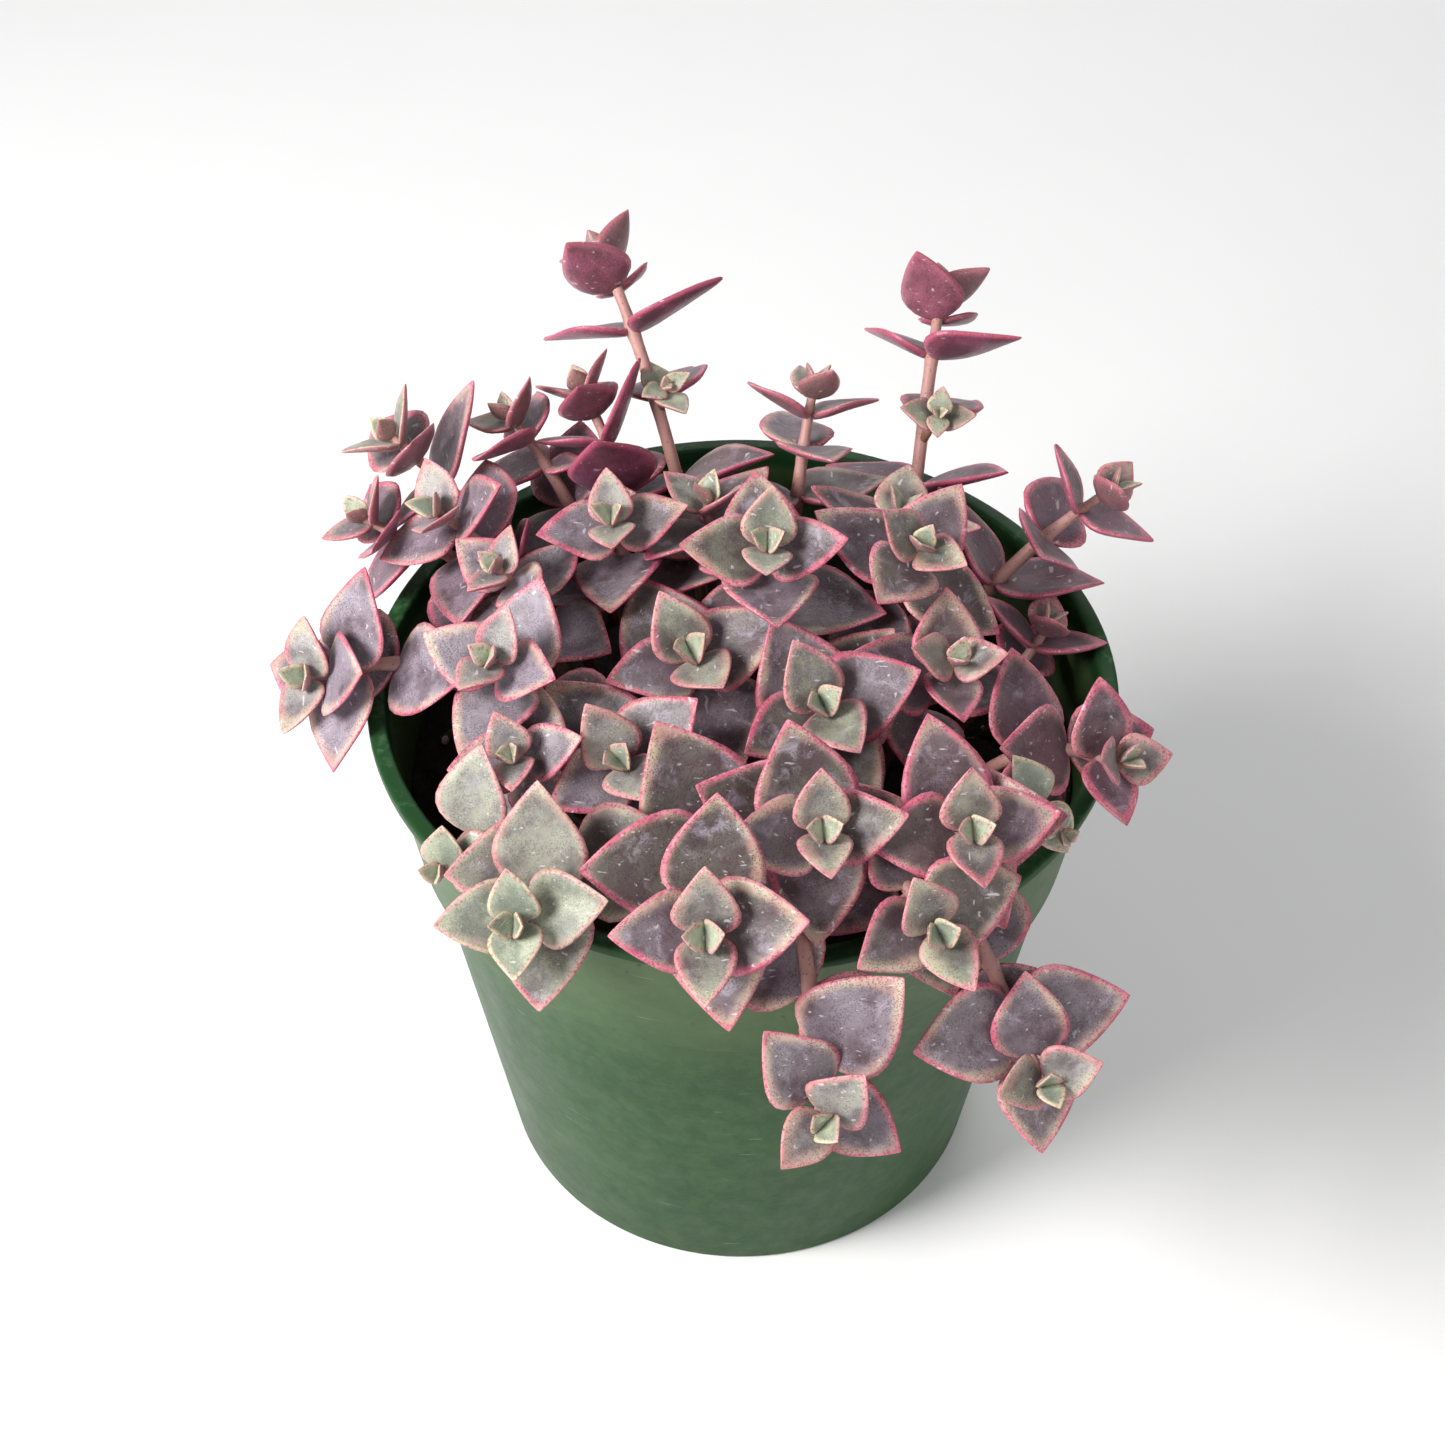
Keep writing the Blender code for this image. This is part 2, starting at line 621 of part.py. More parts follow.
# ---- The whole plant ----------------------------------------------------------------------------


def evaluated_shape(obj):
    """Points and triangles of an object with its modifiers applied."""
    bpy.context.view_layer.update()
    evaluated = obj.evaluated_get(bpy.context.evaluated_depsgraph_get())
    mesh = evaluated.to_mesh()
    mesh.calc_loop_triangles()
    points = [v.co.copy() for v in mesh.vertices]
    faces = [tuple(triangle.vertices) for triangle in mesh.loop_triangles]
    evaluated.to_mesh_clear()
    return points, faces


def main():
    clear_scene()
    green = material("green_plastic", (0.045, 0.13, 0.06), 0.42)
    peat = material("peat", (0.02, 0.014, 0.01), 0.95)
    leaf = material("leaf", (0.36, 0.24, 0.27), 0.55)
    perlite = material("perlite", (0.62, 0.6, 0.52), 0.9)
    bark = material("bark", (0.16, 0.08, 0.045), 0.85)

    plant = bpy.data.objects.new("potted_crassula", None)
    bpy.context.scene.collection.objects.link(plant)

    space = Space()
    paths = shoot_paths()
    pot = build_pot(green, plant)
    soil = build_soil(paths, peat, plant)
    space.add("pot", *evaluated_shape(pot))
    space.add("potting_mix", *evaluated_shape(soil))
    for shoot in SHOOTS:
        space.add(stem_owner(shoot), *tube(paths[shoot.name], STEM_RADIUS))
    build_grains(space, perlite, bark, plant)
    build_shoots(paths, grown_leaves(space, paths), leaf, plant)


main()
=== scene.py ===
import math
from collections import namedtuple

import bpy
import numpy as np
from mathutils import Matrix, Vector, kdtree, noise


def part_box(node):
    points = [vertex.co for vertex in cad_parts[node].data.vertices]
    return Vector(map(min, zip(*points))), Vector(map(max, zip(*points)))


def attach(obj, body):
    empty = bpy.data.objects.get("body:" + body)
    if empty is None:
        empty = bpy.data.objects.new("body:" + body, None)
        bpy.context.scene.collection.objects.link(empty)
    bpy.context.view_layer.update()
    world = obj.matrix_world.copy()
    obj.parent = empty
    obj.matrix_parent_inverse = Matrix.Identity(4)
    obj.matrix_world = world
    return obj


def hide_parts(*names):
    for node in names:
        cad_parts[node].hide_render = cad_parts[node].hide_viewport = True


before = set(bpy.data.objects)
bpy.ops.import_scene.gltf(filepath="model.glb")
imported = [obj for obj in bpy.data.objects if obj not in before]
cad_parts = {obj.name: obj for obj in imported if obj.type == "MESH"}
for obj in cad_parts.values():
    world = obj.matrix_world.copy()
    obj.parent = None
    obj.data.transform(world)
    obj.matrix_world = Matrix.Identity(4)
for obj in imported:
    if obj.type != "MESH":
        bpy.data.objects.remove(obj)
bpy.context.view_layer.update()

MM = 0.001

# ---- Pot ----------------------------------------------------------------------------------------
# A round nursery pot of thin green polypropylene, injection moulded in one piece with a rolled lip,
# a collar band and a raised floor with drain holes. It is turned from its section, and its mould
# marks, scuffs and planting scratches are in its finish.

POT_LOW, POT_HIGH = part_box("pot")
RIM_RADIUS = POT_HIGH[0]
POT_HEIGHT = POT_HIGH[2]
BASE_RADIUS = 37.5 * MM
WALL = 1.1 * MM
LIP_OVERHANG = 1.4 * MM
LIP_HEIGHT = 2.0 * MM
COLLAR_HEIGHT = 22.0 * MM
COLLAR_STEP = 1.2 * MM
FLOOR = 1.2 * MM
FOOT_WIDTH = 2.0 * MM
FLOOR_RISE = 2.0 * MM
PAD_RADIUS = 14.0 * MM
DRAIN_HOLES = 8
DRAIN_RADIUS = 3.2 * MM
POT_ROUNDING = 0.55 * MM
POT_STEPS = 160
HARD_EDGE = math.radians(35)
COLLAR_FOOT = POT_HEIGHT - LIP_HEIGHT - COLLAR_HEIGHT
BODY_TOP_RADIUS = RIM_RADIUS - LIP_OVERHANG - COLLAR_STEP


def body_radius(height):
    return BASE_RADIUS + (BODY_TOP_RADIUS - BASE_RADIUS) * height / POT_HEIGHT


def inner_radius(height):
    step = COLLAR_STEP if height > COLLAR_FOOT else 0.0
    return body_radius(height) + step - WALL


def let_go():
    """Leaves object mode's selection empty, so that the next operator acts on one piece only."""
    if bpy.context.mode != "OBJECT":
        bpy.ops.object.mode_set(mode="OBJECT")
    bpy.ops.object.select_all(action="DESELECT")


def take(*pieces):
    """Selects these pieces alone, the first one active."""
    let_go()
    for piece in pieces:
        piece.select_set(True)
    bpy.context.view_layer.objects.active = pieces[0]
    return pieces[0]


def turned(name, section, steps):
    """A closed shape turned about the upright axis from its section, as (radius, height) points."""
    let_go()
    bpy.ops.mesh.primitive_plane_add(size=MM, location=(0, 0, 0))
    piece = bpy.context.object
    piece.name = piece.data.name = name
    bpy.ops.object.mode_set(mode="EDIT")
    bpy.ops.mesh.select_all(action="SELECT")
    bpy.ops.mesh.merge(type="CENTER")
    (radius, height), rest = section[0], section[1:]
    bpy.ops.transform.translate(value=(radius, 0, height))
    for next_radius, next_height in rest:
        step = (next_radius - radius, 0, next_height - height)
        bpy.ops.mesh.extrude_vertices_move(TRANSFORM_OT_translate={"value": step})
        radius, height = next_radius, next_height
    bpy.ops.mesh.select_all(action="SELECT")
    bpy.ops.mesh.spin(steps=steps, angle=math.tau, center=(0, 0, 0), axis=(0, 0, 1))
    bpy.ops.mesh.select_all(action="SELECT")
    bpy.ops.mesh.remove_doubles(threshold=0.004 * MM)
    bpy.ops.mesh.dissolve_degenerate(threshold=0.001 * MM)
    bpy.ops.mesh.select_all(action="SELECT")
    bpy.ops.mesh.normals_make_consistent(inside=False)
    bpy.ops.object.mode_set(mode="OBJECT")
    return piece


def rounded(section, radius, steps=3):
    """The section with its corners rounded, each by an arc of that radius or as much as fits."""
    out = [section[0]]
    for before, corner, after in zip(section, section[1:], section[2:]):
        here = Vector(corner)
        back, on = Vector(before) - here, Vector(after) - here
        reach = min(radius, 0.42 * back.length, 0.42 * on.length)
        start, end = here + back.normalized() * reach, here + on.normalized() * reach
        for k in range(steps + 1):
            t = k / steps
            out.append(tuple((1 - t) ** 2 * start + 2 * t * (1 - t) * here + t**2 * end))
    return out + [section[-1]]


def pot_section():
    raised = FLOOR_RISE + FLOOR
    lip_foot = POT_HEIGHT - LIP_HEIGHT
    foot_inside = BASE_RADIUS - FOOT_WIDTH
    collar_top = body_radius(lip_foot) + COLLAR_STEP
    return [
        (0.0, FLOOR),
        (PAD_RADIUS - FLOOR, FLOOR),
        (PAD_RADIUS, raised),
        (inner_radius(raised), raised),
        (inner_radius(COLLAR_FOOT), COLLAR_FOOT),
        (inner_radius(COLLAR_FOOT + WALL), COLLAR_FOOT + WALL),
        (inner_radius(POT_HEIGHT), POT_HEIGHT),
        (RIM_RADIUS, POT_HEIGHT),
        (RIM_RADIUS, lip_foot),
        (collar_top, lip_foot),
        (body_radius(COLLAR_FOOT) + COLLAR_STEP, COLLAR_FOOT),
        (body_radius(COLLAR_FOOT), COLLAR_FOOT),
        (BASE_RADIUS, 0.0),
        (foot_inside, 0.0),
        (foot_inside - FLOOR_RISE, FLOOR_RISE),
        (PAD_RADIUS + FLOOR_RISE, FLOOR_RISE),
        (PAD_RADIUS, 0.0),
        (0.0, 0.0),
    ]


pot = turned("nursery_pot", rounded(pot_section(), POT_ROUNDING), POT_STEPS)

drain_circle = (PAD_RADIUS + BASE_RADIUS - FOOT_WIDTH) / 2
drills = []
for i in range(DRAIN_HOLES):
    around = math.tau * (i + 0.5) / DRAIN_HOLES
    let_go()
    bpy.ops.mesh.primitive_cylinder_add(
        vertices=32,
        radius=DRAIN_RADIUS,
        depth=4 * (FLOOR + FLOOR_RISE),
        location=(drain_circle * math.cos(around), drain_circle * math.sin(around), FLOOR_RISE),
    )
    drills.append(bpy.context.object)
drill = take(*drills)
bpy.ops.object.join()
take(pot)
cut = pot.modifiers.new("drain holes", "BOOLEAN")
cut.operation = "DIFFERENCE"
cut.solver = "EXACT"
cut.object = drill
bpy.ops.object.modifier_apply(modifier=cut.name)
bpy.data.objects.remove(drill)
bpy.ops.object.shade_smooth_by_angle(angle=HARD_EDGE)


def srgb(red, green, blue):
    """A colour swatch given as 0 to 255 on screen, as the light values that a shader takes."""
    values = [v / 255 for v in (red, green, blue)]
    light = [v / 12.92 if v <= 0.04045 else ((v + 0.055) / 1.055) ** 2.4 for v in values]
    return (*light, 1.0)


class Finish:
    """A material built up node by node from the piece's own coordinates and attributes."""

    def __init__(self, name, **settings):
        self.material = bpy.data.materials.new(name)
        self.material.use_nodes = True
        self.tree = self.material.node_tree
        self.shader = self.tree.nodes["Principled BSDF"]
        for socket, value in settings.items():
            self.shader.inputs[socket.replace("_", " ")].default_value = value
        self.place = self.tree.nodes.new("ShaderNodeTexCoord").outputs["Object"]

    def add(self, kind, inputs, **options):
        node = self.tree.nodes.new(kind)
        for option, value in options.items():
            setattr(node, option, value)
        for socket, value in inputs.items():
            if isinstance(value, bpy.types.NodeSocket):
                self.tree.links.new(value, node.inputs[socket])
            else:
                node.inputs[socket].default_value = value
        return node

    def feed(self, socket, value):
        self.tree.links.new(value, self.shader.inputs[socket])

    def grain(self, size, detail=3.0, rough=0.55, place=None, warp=0.0):
        """Cloudy noise from 0 to 1 with patches about that size in metres."""
        inputs = {"Vector": place or self.place, "Scale": 1 / size, "Detail": detail}
        inputs.update({"Roughness": rough, "Distortion": warp})
        return self.add("ShaderNodeTexNoise", inputs).outputs["Fac"]

    def cells(self, size):
        """Distance to the nearest of scattered points about that size in metres apart."""
        inputs = {"Vector": self.place, "Scale": 1 / size}
        return self.add("ShaderNodeTexVoronoi", inputs).outputs["Distance"]

    def stretched(self, scale, turn=(0, 0, 0)):
        inputs = {"Vector": self.place, "Scale": scale, "Rotation": turn}
        return self.add("ShaderNodeMapping", inputs).outputs["Vector"]

    def step(self, value, low, high):
        """0 below low and 1 above high, or the other way round where low is over high."""
        inputs = {"Value": value, "From Min": low, "From Max": high, "To Min": 0.0, "To Max": 1.0}
        if low > high:
            inputs.update({"From Min": high, "From Max": low, "To Min": 1.0, "To Max": 0.0})
        eased = self.add("ShaderNodeMapRange", inputs, interpolation_type="SMOOTHSTEP")
        return eased.outputs["Result"]

    def sum(self, operation, first, second=0.0, third=0.0):
        inputs = {0: first, 1: second, 2: third}
        return self.add("ShaderNodeMath", inputs, operation=operation).outputs[0]

    def mix(self, share, first, second, blend="MIX"):
        inputs = {0: share, 6: first, 7: second}
        return self.add("ShaderNodeMix", inputs, data_type="RGBA", blend_type=blend).outputs[2]

    def own(self, name):
        return self.add("ShaderNodeAttribute", {}, attribute_name=name).outputs["Fac"]

    def bump(self, height, depth, strength=1.0, under=None):
        inputs = {"Height": height, "Distance": depth, "Strength": strength}
        if under:
            inputs["Normal"] = under
        return self.add("ShaderNodeBump", inputs).outputs["Normal"]


plastic = Finish("moulded_green_plastic", IOR=1.45, Specular_IOR_Level=0.1)
height = plastic.add("ShaderNodeSeparateXYZ", {"Vector": plastic.place}).outputs["Z"]
# The collar is painted lighter and greyer than the body below it, fading in over a wide band: a
# painted reflection and highlight on the one green plastic.
lower = plastic.mix(plastic.grain(24 * MM), srgb(24, 56, 24), srgb(38, 78, 38))
upper = plastic.mix(plastic.grain(15 * MM), srgb(50, 80, 44), srgb(84, 104, 68))
FADE = 14 * MM
painted_sheen_share = plastic.step(height, COLLAR_FOOT - FADE, COLLAR_FOOT + FADE)
colour = plastic.mix(painted_sheen_share, lower, upper)
mottle = plastic.step(plastic.grain(3.5 * MM, 6, 0.72), 0.38, 0.66)
colour = plastic.mix(plastic.sum("MULTIPLY", mottle, 0.22), colour, srgb(88, 112, 72))
# Round marks from handling and stacking run level, longer scratches cross them, and all hold
# pale dust.
rubbed = plastic.stretched((0.35, 0.35, 5.0))
lines = plastic.step(plastic.grain(3.2 * MM, 5, 0.7, rubbed), 0.58, 0.76)
patches = plastic.step(plastic.grain(11 * MM, 4, 0.6), 0.45, 0.68)
scuffs = plastic.sum("MULTIPLY", lines, patches)
colour = plastic.mix(plastic.sum("MULTIPLY", scuffs, 0.3), colour, srgb(132, 158, 118))
scratches = 0.0
SCRATCHES = ((0.09, 1.3 * MM, 0.715), (-0.32, 1.7 * MM, 0.73), (0.8, 1.5 * MM, 0.735))
for slope, size, reach in SCRATCHES:
    thin = plastic.stretched((0.16, 0.16, 2.6), (slope, -0.7 * slope, 0.0))
    line = plastic.step(plastic.grain(size, 3, 0.5, thin), reach, reach + 0.06)
    scratches = plastic.sum("MAXIMUM", line, scratches)
colour = plastic.mix(plastic.sum("MULTIPLY", scratches, 0.3), colour, srgb(196, 206, 180))
# The lip is painted darker, which is painted shade, and is worn lighter along its edge.
painted_shade_lip = plastic.step(height, POT_HEIGHT - 2 * LIP_HEIGHT, POT_HEIGHT - LIP_HEIGHT)
colour = plastic.mix(plastic.sum("MULTIPLY", painted_shade_lip, 0.85), colour, srgb(22, 60, 32))
worn = plastic.step(height, POT_HEIGHT - 0.5 * LIP_HEIGHT, POT_HEIGHT)
worn = plastic.sum("MULTIPLY", worn, plastic.step(plastic.grain(4 * MM, 5, 0.7), 0.5, 0.7))
colour = plastic.mix(plastic.sum("MULTIPLY", worn, 0.5), colour, srgb(84, 124, 88))
specks = plastic.step(plastic.cells(2.4 * MM), 0.16, 0.10)
dirty = plastic.step(plastic.grain(9 * MM), 0.5, 0.64)
colour = plastic.mix(plastic.sum("MULTIPLY", specks, dirty), colour, srgb(60, 52, 38))
# Inside, the wall is painted dark brown from a little below the rim downwards, with a ragged edge:
# painted shade inside the pot.
level = {0: plastic.place, 1: (1.0, 1.0, 0.0)}
level = plastic.add("ShaderNodeVectorMath", level, operation="MULTIPLY").outputs[0]
span = plastic.add("ShaderNodeVectorMath", {0: level}, operation="LENGTH").outputs["Value"]
lean = (body_radius(POT_HEIGHT) - body_radius(0.0)) / POT_HEIGHT
inset = plastic.sum("MULTIPLY_ADD", height, -lean, span)
inside = plastic.step(inset, body_radius(0.0) - 0.3 * WALL, body_radius(0.0) - 0.8 * WALL)
painted_shade_depth = plastic.sum("MULTIPLY_ADD", plastic.grain(8 * MM), -6 * MM, height)
painted_shade_depth = plastic.step(painted_shade_depth, POT_HEIGHT - 4 * MM, POT_HEIGHT - 14 * MM)
stain_and_painted_shade = plastic.sum("MULTIPLY", inside, plastic.sum("MULTIPLY", painted_shade_depth, 0.85))
colour = plastic.mix(stain_and_painted_shade, colour, srgb(26, 24, 16))
plastic.feed("Base Color", colour)
gloss = plastic.sum("MULTIPLY_ADD", plastic.grain(6 * MM, 5, 0.7), 0.24, 0.26)
plastic.feed("Roughness", plastic.sum("MULTIPLY_ADD", scuffs, 0.2, gloss))
orange_peel = plastic.bump(plastic.grain(0.9 * MM, 3), 0.03 * MM, 0.5)
plastic.feed("Normal", plastic.bump(scuffs, 0.05 * MM, 0.6, orange_peel))
pot.data.materials.clear()
pot.data.materials.append(plastic.material)
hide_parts("pot")
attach(pot, "root")

# ---- Potting mix --------------------------------------------------------------------------------
# A peat and bark mix fills the pot to a little below its rim, pressed level by hand and left lumpy
# by watering. It is one plug, with loose crumbs of peat, bark and perlite lying on it.

MIX_LOW, MIX_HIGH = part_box("potting_mix")
SOIL_BELOW_RIM = 16.0 * MM
SOIL_LUMP = 0.7 * MM
SOIL_TOP = POT_HEIGHT - SOIL_BELOW_RIM
MIX_BOTTOM = MIX_LOW[2]
MIX_GAP = 0.3 * MM
MIX_RINGS = 44
MIX_STEPS = 150
MIX_EDGE_DROP = 0.6 * MM


def soil_height(x, y):
    """The pressed top's broad lumps, the same as the solid plug has."""
    lumps = math.sin(310 * x + 1.3) * math.cos(270 * y) + 0.6 * math.sin(190 * (x + y) + 0.4)
    return SOIL_TOP + SOIL_LUMP * lumps


def clod_height(x, y):
    """Small clods and pits between the broad lumps, in metres."""
    place = Vector((x, y, 0.0))
    clods = noise.fractal(place * 420, 0.9, 2.1, 4, noise_basis="PERLIN_ORIGINAL")
    pits = noise.noise(place * 900, noise_basis="VORONOI_F1")
    return 0.75 * MM * clods - 0.35 * MM * pits


top_radius = inner_radius(SOIL_TOP) - MIX_GAP
section = [(top_radius * i / MIX_RINGS, SOIL_TOP) for i in range(MIX_RINGS + 1)]
section += [
    (inner_radius(COLLAR_FOOT + WALL) - MIX_GAP, COLLAR_FOOT + WALL),
    (inner_radius(COLLAR_FOOT) - MIX_GAP, COLLAR_FOOT),
    (inner_radius(MIX_BOTTOM) - MIX_GAP, MIX_BOTTOM),
    (0.0, MIX_BOTTOM),
]
mix = turned("peat_mix", section, MIX_STEPS)
for vertex in mix.data.vertices:
    x, y, z = vertex.co
    if z > SOIL_TOP - 0.1 * MM:
        edge = min(1.0, (top_radius - math.hypot(x, y)) / (2 * MM))
        vertex.co.z = soil_height(x, y) + clod_height(x, y) - MIX_EDGE_DROP * (1 - edge)
take(mix)
bpy.ops.object.shade_smooth_by_angle(angle=math.radians(60))

peat = Finish("peat_and_bark_mix", Roughness=0.92)
crumbs = peat.grain(1.1 * MM, 6, 0.7)
colour = peat.mix(crumbs, srgb(14, 11, 8), srgb(52, 40, 28))
fibres = peat.stretched((0.5, 2.4, 1.4), (0.2, 0.4, 0.9))
straw = peat.step(peat.grain(0.9 * MM, 3, 0.5, fibres), 0.64, 0.74)
colour = peat.mix(peat.sum("MULTIPLY", straw, 0.7), colour, srgb(104, 78, 52))
damp = peat.step(peat.grain(13 * MM, 2), 0.42, 0.62)
colour = peat.mix(peat.sum("MULTIPLY", damp, 0.55), colour, srgb(9, 7, 6))
peat.feed("Base Color", colour)
peat.feed("Roughness", peat.sum("MULTIPLY_ADD", damp, -0.3, 0.95))
clumps = peat.bump(peat.grain(0.8 * MM, 6, 0.75), 0.5 * MM, 0.9)
peat.feed("Normal", peat.bump(peat.cells(0.45 * MM), 0.15 * MM, 0.6, clumps))
mix.data.materials.append(peat.material)
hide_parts("potting_mix")
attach(mix, "root")

# ---- Loose crumbs -------------------------------------------------------------------------------
# Crumbs of peat, slivers of bark and grains of expanded perlite lie loose on the mix, half sunk in.
# Each kind is shaped once, then scattered over the top in its own sizes and turns.

CRUMBS, SLIVERS, BITS = 190, 46, 40


def wander(index, step):
    """A fixed value from -1 to 1 that looks uneven from one index to the next."""
    return 2 * ((index * step) % 1.0) - 1


def knobbly(name, size, lumps, subdivisions=2, seed=0.0):
    """A lump of that size, in metres, worn and broken from a ball."""
    let_go()
    bpy.ops.mesh.primitive_ico_sphere_add(subdivisions=subdivisions, radius=1.0, location=(0, 0, 0))
    lump = bpy.context.object
    lump.name = lump.data.name = name
    for vertex in lump.data.vertices:
        shove = noise.noise(vertex.co * 1.3 + Vector((seed, 0, 0)))
        chips = noise.noise(vertex.co * 3.4 + Vector((0, seed, 0)))
        vertex.co *= 1 + lumps * (shove + 0.5 * chips)
        vertex.co = Vector(vertex.co[k] * size[k] / 2 for k in range(3))
    return lump


def scattered(name, lump, tall, count, first, low, high, finish):
    """Copies of one lump over the mix, joined as one piece, in sizes from low to high times it."""
    copies = []
    for i in range(first, first + count):
        copy = bpy.data.objects.new(f"{name}_{i}", lump.data.copy())
        bpy.context.scene.collection.objects.link(copy)
        far = (top_radius - 2 * MM) * math.sqrt(0.5 + 0.5 * wander(i, 0.6180))
        around = math.tau * ((i * 0.7548) % 1.0)
        x, y = far * math.cos(around), far * math.sin(around)
        grow = low + (high - low) * (0.5 + 0.5 * wander(i, 0.5698)) ** 2
        turn = Matrix.Rotation(math.pi * wander(i, 0.8191), 4, "Z")
        tip = Matrix.Rotation(0.5 * wander(i, 0.4450), 4, "X")
        rest = Vector((x, y, soil_height(x, y) + clod_height(x, y) + 0.25 * tall * grow))
        copy.data.transform(Matrix.Translation(rest) @ turn @ tip @ Matrix.Scale(grow, 4))
        copies.append(copy)
    bpy.data.objects.remove(lump)
    piece = take(*copies)
    bpy.ops.object.join()
    piece.name = piece.data.name = name
    bpy.ops.object.shade_smooth_by_angle(angle=math.radians(50))
    piece.data.materials.clear()
    piece.data.materials.append(finish.material)
    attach(piece, "root")
    return piece


crumb = knobbly("peat_crumb", (2.4 * MM, 2.0 * MM, 1.5 * MM), 0.5, 2, 3.1)
crumbs_piece = scattered("peat_crumbs", crumb, 1.5 * MM, CRUMBS, 1, 0.35, 1.2, peat)

bark = Finish("bark", Roughness=0.85)
along = bark.stretched((0.5, 2.6, 2.6))
colour = bark.mix(bark.grain(1.4 * MM, 5, 0.7, along), srgb(52, 34, 22), srgb(132, 92, 60))
cracks = bark.step(bark.grain(0.7 * MM, 4, 0.6, along), 0.44, 0.36)
colour = bark.mix(bark.sum("MULTIPLY", cracks, 0.8), colour, srgb(28, 18, 12))
bark.feed("Base Color", colour)
bark.feed("Roughness", bark.sum("MULTIPLY_ADD", cracks, 0.15, 0.78))
bark.feed("Normal", bark.bump(bark.grain(0.8 * MM, 5, 0.65, along), 0.3 * MM, 0.9))
sliver = knobbly("bark_sliver", (5.0 * MM, 1.5 * MM, 0.8 * MM), 0.35, 2, 7.7)
slivers = scattered("bark_slivers", sliver, 0.8 * MM, SLIVERS, 400, 0.4, 1.1, bark)

perlite = Finish("perlite", Roughness=0.9)
dust = perlite.grain(1.6 * MM, 4)
colour = perlite.mix(dust, srgb(206, 196, 176), srgb(240, 236, 226))
stain_and_painted_shade = perlite.step(perlite.grain(2.6 * MM, 4, 0.6), 0.54, 0.70)
colour = perlite.mix(perlite.sum("MULTIPLY", stain_and_painted_shade, 0.6), colour, srgb(120, 100, 74))
holes = perlite.step(perlite.cells(0.55 * MM), 0.30, 0.16)
colour = perlite.mix(perlite.sum("MULTIPLY", holes, 0.45), colour, srgb(110, 98, 82))
perlite.feed("Base Color", colour)
perlite.feed("Roughness", perlite.sum("MULTIPLY_ADD", dust, 0.12, 0.82))
pitted = perlite.bump(perlite.step(perlite.cells(0.55 * MM), 0.12, 0.42), 0.2 * MM, 0.8)
perlite.feed("Normal", perlite.bump(perlite.grain(0.3 * MM, 3), 0.05 * MM, 0.5, pitted))
bit = knobbly("perlite_bit", (1.8 * MM, 1.6 * MM, 1.4 * MM), 0.3, 2, 1.9)
bits = scattered("perlite_bits", bit, 1.4 * MM, BITS, 700, 0.35, 1.0, perlite)

# ---- Grains of perlite and chips of bark --------------------------------------------------------
# The largest loose pieces: three foamy grains of perlite and three chips of pine bark, each lying
# on the mix where it fell. They are worked over from the plain lumps that hold their places.

GRAINS = {
    "perlite_grain_1": (perlite, "perlite", 0.28),
    "perlite_grain_2": (perlite, "perlite", 0.28),
    "perlite_grain_3": (perlite, "perlite", 0.28),
    "bark_chip_1": (bark, "bark", 0.16),
    "bark_chip_2": (bark, "bark", 0.12),
    "bark_chip_3": (bark, "bark", 0.16),
}
for node, (finish, slot, rough) in GRAINS.items():
    lump = bpy.data.objects.new(node + "_rough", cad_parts[node].data.copy())
    bpy.context.scene.collection.objects.link(lump)
    take(lump)
    bpy.ops.object.mode_set(mode="EDIT")
    bpy.ops.mesh.select_all(action="SELECT")
    bpy.ops.mesh.remove_doubles(threshold=0.01 * MM)
    bpy.ops.mesh.subdivide(number_cuts=5, smoothness=0.6)
    bpy.ops.mesh.normals_make_consistent(inside=False)
    bpy.ops.object.mode_set(mode="OBJECT")
    for vertex in lump.data.vertices:
        knobs = noise.fractal(vertex.co * 700, 0.8, 2.2, 4, noise_basis="PERLIN_ORIGINAL")
        vertex.co += Vector(vertex.normal) * knobs * rough * MM
    bpy.ops.object.shade_smooth_by_angle(angle=math.radians(60))
    lump.data.materials.clear()
    lump.data.materials.append(finish.material)
    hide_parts(node)
    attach(lump, "root")

# ---- Where each shoot grows ---------------------------------------------------------------------
# Thirty-three rooted cuttings were planted close together, and two of them carry a side shoot. Each
# stem rises or arches over the rim, and holds its leaves in pairs set crosswise, small at the tip.

# root and tip are places in shares of the rim's radius (right, back), and rise is the tip's height
# over the rim in mm. faces is where the tip looks (degrees round from +X, degrees above the
# horizon), and roll turns its leaf pairs. leaf is its longest leaf and gap its longest stem length
# between pairs, both in mm. over is how far over the rim in mm a leaning stem passes. A shoot with
# on grows from that one's stem, and its root is then how many mm down from that one's tip.
Shoot = namedtuple(
    "Shoot", "name root tip rise faces roll leaf pairs gap over on", defaults=(None, None)
)

